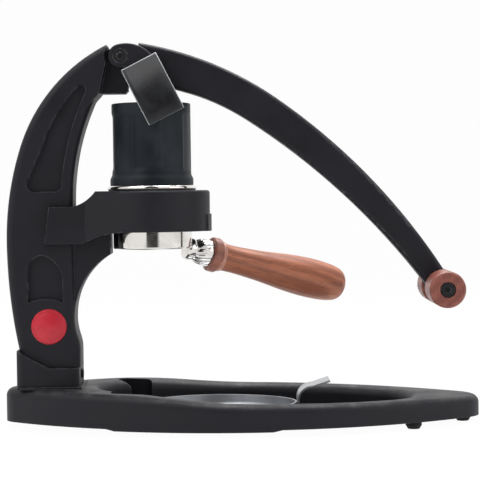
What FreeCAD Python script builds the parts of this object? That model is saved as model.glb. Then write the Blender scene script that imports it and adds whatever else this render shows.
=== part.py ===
import FreeCAD, Part
import math
import os
import Sketcher

# A hand lever espresso maker: base with drip tray, curved post, ring with brew cylinder,
# portafilter with a wooden handle, and a long curved lever with a wooden cross grip.
# Millimetres. +Z is up, +X runs from the post to the free end of the lever, -Y is the near side.
# The origin is at the middle of the footprint, on the table.

os.makedirs("parts", exist_ok=True)
doc = FreeCAD.newDocument("EspressoMaker")
sheet = doc.addObject("Spreadsheet::Sheet", "Sizes")

# Driving dimensions, each with its meaning
DIMENSIONS = [
    ("brew_axis_x", -61.3, "place of the brewing axis"),
    ("pivot_x", -81.3, "lever pivot, along the length"),
    ("pivot_z", 256.5, "lever pivot, above the table"),
    ("joint_gap", 0.3, "gap between faces that move past each other"),
    ("seat_gap", 0.05, "gap between curved faces that sit on each other"),
    ("base_length", 330.0, "base, end to end"),
    ("base_width", 150.0, "base, side to side"),
    ("base_back_radius", 20.0, "rounding of the end under the post"),
    ("base_front_radius", 25.0, "rounding of the free end"),
    ("skirt_bottom", 4.6, "lower edge of the base rim"),
    ("belly_drop", 1.3, "how much lower the middle of the rim hangs"),
    ("belly_back_x", -86.0, "rear end of the lower rim stretch"),
    ("belly_front_x", 20.0, "front end of the lower rim stretch"),
    ("belly_ramp", 6.0, "length of the slope at its ends"),
    ("deck_top", 21.0, "top of the base in front"),
    ("deck_front_drop", 2.4, "how far the top of the base falls towards the free end"),
    ("deck_back_top", 27.6, "top of the base under the post"),
    ("ramp_front_x", 20.0, "where the top of the base starts to climb"),
    ("ramp_back_x", -103.0, "where it stops climbing"),
    ("deck_edge_radius", 5.5, "rounding of the base's upper edge"),
    ("well_middle_x", 9.0, "middle of the base's opening"),
    ("well_length", 216.0, "opening, end to end"),
    ("well_width", 120.0, "opening, side to side"),
    ("well_end_radius", 42.0, "rounding of the opening's ends"),
    ("well_edge_radius", 6.5, "rounding of the opening's upper edge"),
    ("recess_middle_x", -77.5, "middle of the finger recess in the opening's wall"),
    ("recess_length", 24.0, "finger recess, end to end"),
    ("recess_width", 14.0, "finger recess, across"),
    ("recess_side", 42.0, "finger recess, from the middle plane"),
    ("recess_corner_radius", 5.0, "rounding of the finger recess"),
    ("recess_floor", 12.0, "floor of the finger recess"),
    ("pan_thickness", 2.0, "floor plate of the base"),
    ("pan_lip", 4.0, "how far the floor plate reaches past the opening"),
    ("pan_gap", 0.2, "gap round the floor plate"),
    ("pan_screw_radius", 1.2, "shank of the floor plate's screws"),
    ("pan_screw_head", 2.0, "head of the floor plate's screws"),
    ("pan_screw_grip", 6.0, "how deep those screws reach into the base"),
    ("foot_radius", 5.5, "rubber foot"),
    ("foot_bevel_run", 1.5, "bevel of the foot's lower edge, across"),
    ("foot_bevel_rise", 2.4, "that bevel, height"),
    ("foot_screw_radius", 1.5, "screw that holds a foot"),
    ("foot_screw_head", 3.0, "head of that screw"),
    ("foot_screw_recess", 2.4, "depth of the pocket for the head"),
    ("foot_screw_grip", 7.0, "how deep that screw reaches into the base"),
    ("front_foot_x", 115.7, "front pair of feet"),
    ("front_foot_y", 39.0, "front pair of feet, from the middle plane"),
    ("tip_foot_x", 154.0, "single foot under the free end"),
    ("side_foot_x", -70.0, "pair of feet glued under the floor plate"),
    ("side_foot_y", 34.0, "that pair, from the middle plane"),
    ("back_foot_x", -122.0, "single foot under the post"),
    ("tray_middle_x", -18.0, "drip tray, middle"),
    ("tray_length", 112.0, "drip tray, end to end"),
    ("tray_width", 94.0, "drip tray, side to side"),
    ("tray_end_radius", 40.0, "rounding of the tray's ends"),
    ("tray_wall", 1.2, "sheet thickness of the tray"),
    ("tray_top", 15.0, "rim of the tray, above the table"),
    ("tray_floor_radius", 3.0, "rounding between tray floor and wall"),
    ("lip_width", 26.0, "finger lip of the tray, across"),
    ("lip_thickness", 1.5, "finger lip, sheet thickness"),
    ("lip_rise", 12.0, "height of the lip over the tray's rim"),
    ("lip_reach", 23.0, "length of the lip past the tray"),
    ("lip_climb", 2.4, "how far the lip climbs from its bend to its end"),
    ("lip_end_lean", 0.5, "lean of the lip's end"),
    ("lip_drop", 5.0, "how far the lip's root reaches down the tray wall"),
    ("lip_bend_radius", 9.0, "bend at the lip's root"),
    ("socket_back_x", -155.7, "post socket, rear face"),
    ("socket_front_x", -112.4, "post socket, front face"),
    ("socket_thickness", 42.0, "post socket, side to side"),
    ("socket_back_top", 54.0, "post socket, top at the rear"),
    ("socket_front_top", 42.0, "post socket, top at the front"),
    ("socket_step_x", -133.2, "where the socket's slanted top meets the level top"),
    ("socket_edge_radius", 5.0, "rounding of the socket's upright edges"),
    ("plinth_height", 1.6, "raised pad under the socket"),
    ("plinth_margin", 2.0, "how far the pad reaches past the socket"),
    ("tenon_back_x", -150.0, "post tenon in the socket, rear"),
    ("tenon_front_x", -118.0, "post tenon in the socket, front"),
    ("tenon_thickness", 18.0, "post tenon, side to side"),
    ("tenon_bottom", 32.5, "post tenon, lower end"),
    ("tenon_gap", 0.2, "gap round the tenon"),
    ("lock_screw_z", 36.5, "height of the screw that locks the tenon"),
    ("lock_screw_radius", 2.5, "lock screw, shank"),
    ("lock_screw_head", 3.2, "lock screw, head"),
    ("lock_screw_head_height", 1.4, "lock screw, head height"),
    ("lock_screw_length", 20.0, "lock screw, shank length"),
    ("socket_bolt_radius", 2.0, "bolts that hold the socket down"),
    ("socket_bolt_head", 3.6, "heads of those bolts"),
    ("socket_bolt_head_height", 4.0, "head height of those bolts"),
    ("socket_bolt_grip", 10.0, "how deep those bolts reach into the socket"),
    ("post_thickness", 32.0, "post, side to side"),
    ("post_back_x", -161.9, "rearmost point of the post"),
    ("post_back_drop", 127.3, "how far that point lies below the pivot"),
    ("post_heel_x", -153.9, "back of the post where it meets the socket"),
    ("post_shoulder_turn", 18.25, "turn of the upper back, degrees"),
    ("post_crown_turn", 45.6, "turn of the crown, degrees"),
    ("post_high_back_radius", 210.7, "curve of the upper back"),
    ("post_crown_radius", 118.7, "curve of the crown"),
    ("post_neck_back", 18.2, "inner edge under the pivot, behind the pivot"),
    ("post_neck_drop", 29.3, "inner edge under the pivot, below the pivot"),
    ("post_inner_x", -115.5, "inner face of the post"),
    ("post_inner_drop", 100.5, "start of the inner face's curve, below the pivot"),
    ("shelf_front_x", -90.1, "nose of the shelf under the ring"),
    ("shelf_thickness", 24.0, "shelf, side to side"),
    ("shelf_height", 14.8, "nose of the shelf, height"),
    ("post_waist_z", 76.5, "height where the inner face starts to swing forward"),
    ("post_foot_turn", 18.5, "swing of the inner face above the foot, degrees"),
    ("post_foot_in_radius", 45.0, "hollow curve above the foot"),
    ("post_foot_out_radius", 25.0, "round curve above the foot"),
    ("post_edge_radius", 5.0, "rounding of the post's long edges"),
    ("pivot_relief", 11.0, "round clearance for the lever's eye"),
    ("relief_top_angle", 145.0, "upper end of that clearance, degrees"),
    ("relief_low_angle", 205.0, "lower end of that clearance, degrees"),
    ("neck_step", 3.5, "step of the post's inner edge under the pivot"),
    ("nose_out", 4.6, "end of the thin nose, in front of the pivot"),
    ("nose_drop", 25.5, "lower edge of that nose, below the pivot"),
    ("nose_top_drop", 12.5, "upper edge of that nose, below the pivot"),
    ("nose_thickness", 12.0, "nose, side to side"),
    ("nose_eye_radius", 8.0, "round end of the nose at the pivot"),
    ("nose_eye_angle", -20.0, "lower end of that round, degrees"),
    ("nose_bevel", 2.0, "bevel of the nose's lower corner"),
    ("nose_slope_run", 3.0, "slope of the nose's upper corner, across"),
    ("nose_slope_rise", 4.0, "slope of the nose's upper corner, height"),
    ("nose_root_depth", 4.0, "how far the nose starts inside the post"),
    ("nose_root_drop", 8.0, "rear end of the nose's upper edge, below the crown"),
    ("panel_depth", 3.5, "depth of the sunk panels"),
    ("panel_corner", 5.0, "corners of the upper panel"),
    ("panel_back_border", 14.5, "upper panel, from the post's back"),
    ("panel_front_border", 7.5, "upper panel, from the post's inner face"),
    ("panel_rise", 7.5, "foot of the upper panel, above the start of the inner face's curve"),
    ("panel_tip_back", 6.0, "front of the upper panel's tip, behind the inner edge under the pivot"),
    ("panel_tip_up", 5.0, "front of that tip, above the same edge"),
    ("panel_tip_across", 4.6, "width of that tip, along both directions"),
    ("panel_tip_radius", 3.7, "rounding of that tip"),
    ("panel_shoulder_drop", 3.0, "bend in the upper panel's rear edge, below the post's shoulder"),
    ("panel_front_hollow", 190.0, "curve of the upper panel's front edge"),
    ("arch_back_border", 14.5, "lower panel, from the post's back"),
    ("arch_front_border", 7.7, "lower panel, from the post's inner face"),
    ("arch_foot_gap", 4.3, "lower panel, above the badge"),
    ("arch_foot_bow", 30.0, "curve of the lower panel's foot"),
    ("arch_front_rise", 14.5, "height of the lower panel's front side"),
    ("arch_back_rise", 24.5, "height of the lower panel's rear side"),
    ("arch_top_in", 11.0, "top of the arch, from the panel's rear side"),
    ("arch_top_drop", 7.0, "top of the arch, below the ring's arm"),
    ("arch_front_radius", 19.0, "curve of the arch's front half"),
    ("arch_back_radius", 10.5, "curve of the arch's rear half"),
    ("badge_x", -133.0, "badge"),
    ("badge_z", 70.5, "badge, height"),
    ("badge_radius", 12.2, "badge"),
    ("badge_thickness", 1.6, "badge"),
    ("badge_recess", 0.8, "how deep the badge is let in"),
    ("ring_bottom", 135.1, "ring, lower face"),
    ("ring_height", 28.4, "ring, lower to upper face"),
    ("ring_step_height", 11.9, "boss on the ring's front, over the lower face"),
    ("ring_low_radius", 41.3, "ring's boss, outer radius"),
    ("ring_boss_half", 13.0, "ring's boss, half its width"),
    ("ring_high_radius", 40.2, "ring, outer radius"),
    ("flare_start", 9.0, "where the arm starts to widen, in front of the post's inner face"),
    ("flare_end_x", 19.0, "where the widened arm meets the ring, behind the brewing axis"),
    ("flare_end_side", 35.0, "half the arm's width there"),
    ("arm_slope_start", 0.5, "foot of the arm's upper slope, in front of the post's inner face"),
    ("arm_slope_bow", 30.0, "curve of that slope"),
    ("arm_chin_start", 6.0, "end of the arm's lower face, in front of the post's inner face"),
    ("arm_chin_end_x", 19.0, "where the arm's lower face has climbed to the ring, behind the brewing axis"),
    ("arm_chin_bow", 60.0, "curve of that climb"),
    ("ring_bore_radius", 28.7, "ring, bore"),
    ("ring_overlap", 3.0, "how far the ring's additions reach into its wall"),
    ("ring_edge_radius", 2.0, "rounding of the ring's edges"),
    ("arm_back_reach", 19.7, "ring's arm, from the post's inner face to its rear end"),
    ("arm_back_lean", 3.9, "lean of that end"),
    ("arm_drop", 8.4, "ring's arm, how far it hangs below the ring"),
    ("arm_step", 10.5, "ring's arm, how far its end lies below the ring's top"),
    ("arm_thickness", 44.0, "ring's arm, side to side"),
    ("arm_fit", 0.1, "gap between the arm and the post"),
    ("arm_skin", 2.5, "metal left over the bolts' blind ends"),
    ("arm_edge_radius", 2.0, "rounding of the arm's edges"),
    ("arm_run", 16.5, "length of the arm's upper slope"),
    ("ring_bolt_radius", 3.0, "bolts through arm and post"),
    ("ring_bolt_head", 5.0, "heads of those bolts"),
    ("ring_bolt_head_height", 3.5, "head height of those bolts"),
    ("ring_bolt_inset", 9.7, "bolts through arm and post, from the post's inner face"),
    ("ring_bolt_spacing", 13.0, "height between those bolts"),
    ("cylinder_bore", 20.0, "brew cylinder, inner radius"),
    ("cylinder_radius", 23.5, "brew cylinder, outer radius"),
    ("cylinder_height", 55.0, "brew cylinder, over the flange"),
    ("flange_radius", 31.0, "chrome flange, outer radius"),
    ("flange_height", 3.5, "chrome flange"),
    ("flange_bead", 1.2, "depth of the flange's rounded edge"),
    ("group_radius", 28.4, "group body inside the ring, outer radius"),
    ("group_rise", 3.4, "lower edge of the group body, over the ring's lower face"),
    ("group_bore", 25.3, "group body, bore for the portafilter's rim"),
    ("group_depth", 11.5, "depth of the group body's hollow"),
    ("lug_count", 3.0, "bayonet lugs"),
    ("lug_radius", 26.8, "bayonet lugs, outer radius"),
    ("lug_rise", 3.5, "bayonet lugs, over the group's lower edge"),
    ("lug_height", 3.0, "bayonet lugs"),
    ("lug_width", 9.0, "bayonet lugs, across"),
    ("lug_gap_wall", 1.2, "metal left outside the gaps that let the lugs in"),
    ("lug_gap_reach", 5.0, "how far those gaps reach inwards"),
    ("lug_root", 0.6, "how far a lug starts inside the rim"),
    ("lug_corner", 0.4, "drop of the lug's outer corners"),
    ("lug_turn", 50.0, "turn that frees the lugs, degrees"),
    ("gasket_thickness", 2.2, "group gasket"),
    ("gasket_inner", 20.6, "group gasket, inner radius"),
    ("screen_thickness", 1.5, "dispersion screen"),
    ("screen_radius", 21.8, "dispersion screen"),
    ("screen_hole_radius", 1.0, "holes of the dispersion screen"),
    ("basket_radius", 21.6, "filter basket, outer radius"),
    ("basket_wall", 0.8, "filter basket, wall"),
    ("basket_lift", 2.5, "filter basket, over the portafilter's floor"),
    ("basket_rim_radius", 24.0, "filter basket, rolled rim"),
    ("basket_corner", 2.0, "bevel of the basket's lower edge"),
    ("pf_radius", 27.45, "portafilter, outer radius"),
    ("pf_drop", 12.1, "portafilter, how far it hangs below the ring"),
    ("pf_shoulder_gap", 0.5, "gap between portafilter and group body"),
    ("pf_rim_radius", 24.9, "portafilter, narrow rim"),
    ("pf_rim_gap", 0.8, "gap between the portafilter's rim and the gasket, for the basket"),
    ("pf_bore", 22.3, "portafilter, inner radius"),
    ("pf_floor_thickness", 2.0, "portafilter, floor"),
    ("pf_outlet_radius", 9.0, "portafilter, outlet"),
    ("pf_edge_radius", 1.5, "rounding of the portafilter's edges"),
    ("handle_yaw", 24.5, "handle, turn away from the near side, degrees"),
    ("handle_droop", 14.0, "handle, slope down, degrees"),
    ("handle_axis_rise", 5.55, "height of the handle's axis over the portafilter's underside"),
    ("neck_root", 23.0, "start of the chrome neck along the handle"),
    ("neck_root_radius", 7.9, "chrome neck, at the root"),
    ("neck_end", 44.0, "end of the chrome neck"),
    ("neck_end_radius", 9.7, "chrome neck, at the handle"),
    ("neck_land", 4.0, "level stretch of the neck at the handle"),
    ("neck_root_length", 12.0, "length of the neck's root"),
    ("neck_hollow", 14.0, "hollow curve between them"),
    ("ferrule_radius", 12.2, "collar of the handle"),
    ("ferrule_length", 5.0, "collar of the handle"),
    ("ferrule_bead_radius", 10.8, "thin ring behind the collar"),
    ("ferrule_bead_length", 1.6, "thin ring behind the collar"),
    ("ferrule_edge", 1.0, "rounding of the collar's edges"),
    ("ferrule_bead_bow", 1.6, "rounding of the thin ring"),
    ("handle_neck_radius", 9.6, "handle, narrow part"),
    ("handle_neck_place", 62.0, "place of the narrow part along the handle"),
    ("handle_swell_radius", 14.6, "handle, thick part"),
    ("handle_swell_place", 124.0, "place of the thick part along the handle"),
    ("handle_end", 154.6, "far end of the handle"),
    ("handle_rise_radius", 12.0, "handle, halfway from its narrow to its thick part"),
    ("handle_rise_place", 92.0, "place of that half way along the handle"),
    ("handle_shoulder_radius", 13.2, "handle, where its rounded end starts"),
    ("handle_shoulder_back", 12.0, "length of the rounded end"),
    ("handle_root_hollow", 70.0, "hollow curve behind the collar"),
    ("handle_waist_hollow", 232.0, "hollow curve from the narrow part outwards"),
    ("handle_swell_bow", 200.0, "round curve up to the thick part"),
    ("handle_shoulder_bow", 80.0, "round curve past the thick part"),
    ("handle_tip_bow", 17.0, "curve of the rounded end"),
    ("handle_bolt_radius", 3.0, "steel rod in the handle"),
    ("handle_bolt_reach", 60.0, "length of the rod in the wood"),
    ("sleeve_inner", 23.8, "silicone sleeve, inner radius"),
    ("sleeve_radius", 27.5, "silicone sleeve, outer radius"),
    ("sleeve_over", 2.0, "silicone sleeve, over the cylinder's rim"),
    ("sleeve_flare_radius", 29.0, "silicone sleeve, foot"),
    ("sleeve_flare_height", 5.5, "silicone sleeve, foot"),
    ("sleeve_flare_slope", 1.5, "half the height of the step above the foot"),
    ("sleeve_edge", 1.0, "rounding of the sleeve's upper edge"),
    ("strap_width", 27.0, "pull strap, across"),
    ("strap_thickness", 2.4, "pull strap"),
    ("strap_gap", 0.6, "pull strap, gap to the sleeve at its lower end"),
    ("strap_lean", 26.7, "pull strap, lean towards the post, degrees"),
    ("strap_shift", 12.3, "lower end of the strap, in front of the brewing axis"),
    ("strap_low_drop", 10.5, "lower end of the strap, below the sleeve's rim"),
    ("strap_length", 43.0, "pull strap, length seen from the side"),
    ("strap_top_y", 18.6, "back of the strap's upper end, from the middle plane"),
    ("strap_bow_radius", 60.0, "bow of the strap"),
    ("piston_lift", 2.5, "piston at rest, over the dispersion screen"),
    ("piston_height", 12.0, "piston"),
    ("piston_radius", 19.6, "piston"),
    ("piston_ring_section", 1.4, "O-ring, section radius"),
    ("piston_ring_inset", 3.2, "O-ring centres from the piston's faces"),
    ("piston_ring_squeeze", 0.05, "gap between O-ring and bore"),
    ("groove_gap", 0.1, "gap beside the O-rings in their grooves"),
    ("piston_edge", 0.6, "rounding of the piston's edges"),
    ("stem_radius", 5.5, "plunger stem"),
    ("stem_cap_radius", 9.0, "button on the stem"),
    ("stem_cap_height", 8.0, "button on the stem"),
    ("stem_cap_dome", 3.0, "rise of the button's domed top"),
    ("stem_cap_edge", 1.0, "bevel of the button's lower edge"),
    ("lever_bar_thickness", 20.0, "lever bar, side to side"),
    ("lever_edge_radius", 3.0, "rounding of the lever bar's edges"),
    ("lever_eye_radius", 8.2, "lever, round end at the pivot"),
    ("cheek_edge_radius", 1.2, "rounding of the cheeks' edges"),
    ("cheek_eye_angle", 105.0, "where the cheeks' upper edge leaves the round end, degrees"),
    ("cheek_rear_angle", 190.0, "rear end of the cheeks' round end, degrees"),
    ("cheek_low_angle", 285.0, "lower end of the cheeks' round end, degrees"),
    ("cheek_front_angle", 42.0, "front end of the cheeks' upper edge, degrees"),
    ("cheek_front_radius", 23.5, "curve of the cheeks' upper edge"),
    ("slot_end_out", 11.3, "end of the slot that takes the nose, in front of the pivot"),
    ("slot_thickness", 12.8, "slot, side to side"),
    ("slot_over", 6.0, "how far the slot reaches above the bar's root"),
    ("press_face_drop", 20.2, "underside of the lever over the plunger, below the pivot"),
    ("lever_root_out", 12.45, "upper edge of the bar, start, in front of the pivot"),
    ("lever_root_up", 9.48, "upper edge of the bar, start, above the pivot"),
    ("lever_low_out", 41.7, "lower edge of the bar, start, in front of the pivot"),
    ("lever_low_drop", 24.0, "lower edge of the bar, start, below the pivot"),
    ("lever_top_slope", 9.63, "slope of the upper edge at its start, degrees"),
    ("lever_top_turn", 25.65, "turn of its near curve, degrees"),
    ("lever_top_far_turn", 23.47, "turn of its far curve, degrees"),
    ("lever_low_slope", 15.5, "slope of the lower edge at its start, degrees"),
    ("lever_low_turn", 17.66, "turn of its near curve, degrees"),
    ("lever_low_far_turn", 21.04, "turn of its far curve, degrees"),
    ("lever_top_radius", 230.9, "curve of the upper edge near the pivot"),
    ("lever_top_far_radius", 433.0, "curve of the upper edge near the grip"),
    ("lever_low_radius", 158.3, "curve of the lower edge near the pivot"),
    ("lever_low_far_radius", 487.2, "curve of the lower edge near the grip"),
    ("bolt_radius", 4.0, "pivot bolt"),
    ("bolt_fit", 0.05, "running gap of the pivot bolt"),
    ("bolt_head_radius", 5.0, "pivot bolt, head"),
    ("bolt_head_height", 2.8, "pivot bolt, head"),
    ("nut_spigot_radius", 2.4, "pivot nut, short spigot against the bolt's end"),
    ("bush_radius", 5.6, "bush in the nose"),
    ("pad_length", 16.0, "press pad under the lever"),
    ("pad_thickness", 1.7, "press pad under the lever"),
    ("pad_edge", 1.0, "bevel of the press pad's ends"),
    ("pad_inset", 2.0, "press pad, from the bar's sides"),
    ("bumper_height", 4.6, "rubber stop on the nose"),
    ("bumper_drop", 15.7, "rubber stop, top, below the pivot"),
    ("bumper_width", 9.0, "rubber stop, side to side"),
    ("bumper_edge", 1.0, "bevel of the rubber stop"),
    ("grip_radius", 12.5, "cross grip"),
    ("grip_length", 84.0, "cross grip, end to end"),
    ("grip_edge_radius", 2.5, "rounding of the grip's ends"),
    ("grip_inner_edge", 1.0, "bevel of the grip's inner ends"),
    ("grip_eye_radius", 10.5, "eye of the lever at the grip"),
    ("grip_rod_radius", 3.0, "rod through the grip"),
    ("grip_well_radius", 5.4, "counterbore in the grip's ends"),
    ("grip_well_depth", 4.5, "counterbore in the grip's ends"),
    ("grip_screw_head", 4.9, "screw heads in the grip's ends"),
    ("grip_screw_height", 3.4, "screw heads in the grip's ends"),
    ("grip_screw_grip", 9.0, "length of those screws in the rod"),
    ("grip_screw_radius", 1.6, "shank of those screws"),
]
for row, (alias, amount, meaning) in enumerate(DIMENSIONS, start=1):
    sheet.set("A%d" % row, meaning)
    sheet.set("B%d" % row, str(amount))
    sheet.setAlias("B%d" % row, alias)
doc.recompute()


# A size knows its number and the formula that gives it
class Size:
    def __init__(self, value, text):
        self.value = float(value)
        self.text = text

    def __add__(self, other):
        other = size(other)
        return Size(self.value + other.value, "(%s + %s)" % (self.text, other.text))

    def __sub__(self, other):
        other = size(other)
        return Size(self.value - other.value, "(%s - %s)" % (self.text, other.text))

    def __mul__(self, other):
        other = size(other)
        return Size(self.value * other.value, "(%s * %s)" % (self.text, other.text))

    def __truediv__(self, other):
        other = size(other)
        return Size(self.value / other.value, "(%s / %s)" % (self.text, other.text))

    def __radd__(self, other):
        return size(other) + self

    def __rsub__(self, other):
        return size(other) - self

    def __rmul__(self, other):
        return size(other) * self

    def __neg__(self):
        return Size(-self.value, "(0 - %s)" % self.text)


def size(number):
    if isinstance(number, Size):
        return number
    return Size(number, "(%.10g)" % number)


def square_root(amount):
    return Size(math.sqrt(amount.value), "sqrt(%s)" % amount.text)


def sine(angle):
    return Size(math.sin(math.radians(angle.value)), "sin(%s)" % angle.text)


def cosine(angle):
    return Size(math.cos(math.radians(angle.value)), "cos(%s)" % angle.text)


# Every driving dimension becomes a name of this module
for alias, amount, meaning in DIMENSIONS:
    globals()[alias] = Size(amount, "Sizes." + alias)

AWAY = FreeCAD.Vector(0, 0, 1)
ORIGIN = -1
START, END, CENTRE = 1, 2, 3


# A body with its own place, and a turn about Z followed by a droop about its own Y
def new_body(label, place=(0, 0, 0), yaw=0, droop=0):
    body = doc.addObject("PartDesign::Body", label)
    body.Label = label
    x, y, z = [size(number).text for number in place]
    turn = "%s; %s; 0" % (size(yaw).text, size(droop).text)
    body.setExpression("Placement", "placement(vector(%s; %s; %s); rotation(%s))" % (x, y, z, turn))
    doc.recompute()
    return body


# A sketch on one of the body's own origin planes, moved along the plane's normal.
# The side plane's normal points to the near side.
PLANES = {"top": "XY_Plane", "side": "XZ_Plane", "front": "YZ_Plane"}


def new_sketch(body, plane, offset=0):
    sketch = body.newObject("Sketcher::SketchObject", body.Label + "_outline")
    support = [item for item in body.Origin.OriginFeatures if item.Role == PLANES[plane]][0]
    sketch.AttachmentSupport = [(support, "")]
    sketch.MapMode = "FlatFace"
    sketch.setExpression("AttachmentOffset.Base.z", size(offset).text)
    return sketch


def fix_number(sketch, kind, *items):
    place = size(items[-1])
    index = sketch.addConstraint(Sketcher.Constraint(kind, *items[:-1], place.value))
    sketch.setExpression("Constraints[%d]" % index, place.text)


def fix_point(sketch, edge, end, x, y):
    fix_number(sketch, "DistanceX", ORIGIN, START, edge, end, x)
    fix_number(sketch, "DistanceY", ORIGIN, START, edge, end, y)


def vector(x, y):
    return FreeCAD.Vector(size(x).value, size(y).value, 0)


# The arc from one point to the next; its centre lies to the left for a positive radius
def arc_between(start, end, radius):
    half = (end - start) * 0.5
    reach = math.sqrt(radius ** 2 - half.Length ** 2)
    left = FreeCAD.Vector(-half.y, half.x, 0).normalize()
    centre = start + half + left * math.copysign(reach, radius)
    first, last = (start, end) if radius > 0 else (end, start)
    low = math.atan2(first.y - centre.y, first.x - centre.x)
    high = math.atan2(last.y - centre.y, last.x - centre.x)
    return Part.ArcOfCircle(Part.Circle(centre, AWAY, abs(radius)), low, high)


# A closed outline through the corners; bends gives the radius of each round stretch
def outline(sketch, corners, bends=None):
    bends = bends or {}
    points = [vector(x, y) for x, y in corners]
    count = len(points)
    first_edge = sketch.GeometryCount
    ends = []
    for index in range(count):
        start = points[index]
        end = points[(index + 1) % count]
        radius = bends.get(index)
        if radius is None:
            sketch.addGeometry(Part.LineSegment(start, end), False)
            ends.append((START, END))
        else:
            sketch.addGeometry(arc_between(start, end, size(radius).value), False)
            ends.append((START, END) if size(radius).value > 0 else (END, START))
    for index in range(count):
        following = (index + 1) % count
        here = (first_edge + index, ends[index][1])
        there = (first_edge + following, ends[following][0])
        sketch.addConstraint(Sketcher.Constraint("Coincident", *here, *there))
    for index, (x, y) in enumerate(corners):
        fix_point(sketch, first_edge + index, ends[index][0], x, y)
    for index, radius in bends.items():
        radius = size(radius)
        amount = radius if radius.value > 0 else -radius
        fix_number(sketch, "Radius", first_edge + index, amount)


def circle(sketch, x, y, radius):
    edge = sketch.GeometryCount
    sketch.addGeometry(Part.Circle(vector(x, y), AWAY, size(radius).value), False)
    fix_point(sketch, edge, CENTRE, x, y)
    fix_number(sketch, "Radius", edge, radius)


def rectangle(sketch, left, low, right, high):
    outline(sketch, [(left, low), (right, low), (right, high), (left, high)])


def rounded_rectangle(sketch, left, low, right, high, corner):
    corners = [(left + corner, low), (right - corner, low), (right, low + corner), (right, high - corner),
               (right - corner, high), (left + corner, high), (left, high - corner), (left, low + corner)]
    outline(sketch, corners, {1: corner, 3: corner, 5: corner, 7: corner})


# A pointed oval with round ends: two long arcs and two end arcs, all tangent
def oval(sketch, middle, length, width, back_radius, front_radius):
    def shoulder(end_radius):
        reach = length / 2 - end_radius
        half = width / 2
        rise = reach * reach + half * half - end_radius * end_radius
        side_radius = rise / (2 * (half - end_radius))
        share = end_radius / (side_radius - end_radius)
        return reach + reach * share, (side_radius - half) * share, side_radius

    front_x, front_y, front_side = shoulder(front_radius)
    back_x, back_y, back_side = shoulder(back_radius)
    half = width / 2
    corners = [(middle, -half), (middle + front_x, -front_y), (middle + front_x, front_y),
               (middle, half), (middle - back_x, back_y), (middle - back_x, -back_y)]
    bends = {0: front_side, 1: front_radius, 2: front_side, 3: back_side, 4: back_radius, 5: back_side}
    outline(sketch, corners, bends)


def pad(sketch, length, both_ways=False, backwards=False):
    feature = sketch.getParentGeoFeatureGroup().newObject("PartDesign::Pad", "Pad")
    return finish_extrusion(feature, sketch, length, both_ways, backwards)


def pocket(sketch, length, both_ways=False, backwards=False):
    feature = sketch.getParentGeoFeatureGroup().newObject("PartDesign::Pocket", "Pocket")
    return finish_extrusion(feature, sketch, length, both_ways, backwards)


def checked(feature):
    doc.recompute()
    body = feature.getParentGeoFeatureGroup()
    if "Invalid" in feature.State or feature.Shape.isNull():
        raise ValueError("%s of %s failed" % (feature.Name, body.Label))
    if not feature.Shape.isValid():
        raise ValueError("%s of %s is not sound" % (feature.Name, body.Label))
    return feature


def finish_extrusion(feature, sketch, length, both_ways, backwards):
    feature.Profile = sketch
    feature.SideType = "Symmetric" if both_ways else "One side"
    feature.Reversed = backwards
    feature.setExpression("Length", size(length).text)
    sketch.Visibility = False
    return checked(feature)


def turned(sketch, kind="Revolution", axis="V_Axis"):
    feature = sketch.getParentGeoFeatureGroup().newObject("PartDesign::" + kind, kind)
    feature.Profile = sketch
    feature.ReferenceAxis = (sketch, [axis])
    feature.Angle = 360.0
    sketch.Visibility = False
    return checked(feature)


# Rounds the edges of the body's last feature that the test picks out
def round_edges(body, radius, test):
    tip = body.Tip
    names = []
    for index, edge in enumerate(tip.Shape.Edges, start=1):
        if test(edge):
            names.append("Edge%d" % index)
    if not names:
        raise ValueError("no edge to round on " + body.Label)
    feature = body.newObject("PartDesign::Fillet", "Fillet")
    feature.Base = (tip, names)
    feature.setExpression("Radius", size(radius).text)
    return checked(feature)


def pattern_round(body, feature, count, axis="Z_Axis"):
    copies = body.newObject("PartDesign::PolarPattern", "PolarPattern")
    copies.Originals = [feature]
    line = [item for item in body.Origin.OriginFeatures if item.Role == axis][0]
    copies.Axis = (line, [""])
    copies.Angle = 360.0
    copies.setExpression("Occurrences", size(count).text)
    body.Tip = copies
    return checked(copies)


def mirrored(body, feature, plane):
    copies = body.newObject("PartDesign::Mirrored", "Mirrored")
    copies.Originals = [feature]
    support = [item for item in body.Origin.OriginFeatures if item.Role == PLANES[plane]][0]
    copies.MirrorPlane = (support, [""])
    body.Tip = copies
    return checked(copies)


# Edge tests, each in the body's own frame
def near(a, b, slack=0.05):
    return abs(a - size(b).value) < slack


def level_at(z):
    return lambda edge: near(edge.BoundBox.ZMin, z) and near(edge.BoundBox.ZMax, z)


def flat_at_side(y):
    def test(edge):
        box = edge.BoundBox
        half = size(y).value
        return any(near(box.YMin, side) and near(box.YMax, side) for side in (half, -half))
    return test


def both(*tests):
    return lambda edge: all(test(edge) for test in tests)


# Hexagon socket, cut down from the sketch plane into a screw head
def hexagon(sketch, radius):
    corners = []
    for step in range(6):
        angle = math.radians(60 * step)
        corners.append((radius * math.cos(angle), radius * math.sin(angle)))
    outline(sketch, corners)


# The end of an arc that starts at a point, heads some degrees above +X and turns clockwise
def arc_end(point, heading, radius, turn):
    x, z = point
    following = heading - turn
    across = sine(heading) - sine(following)
    up = cosine(following) - cosine(heading)
    return (x + radius * across, z + radius * up)


# The radius of an arc that leaves upright and has moved by the given run and rise
def upright_arc(run, rise):
    return (run * run + rise * rise) / (2 * run)


# Shares of a screw's head that its hexagon socket takes, and how loosely the deck's edges are picked
SOCKET_WIDTH_SHARE = 0.5
SOCKET_DEPTH_SHARE = 0.55
DECK_SLACK = 0.5

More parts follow.
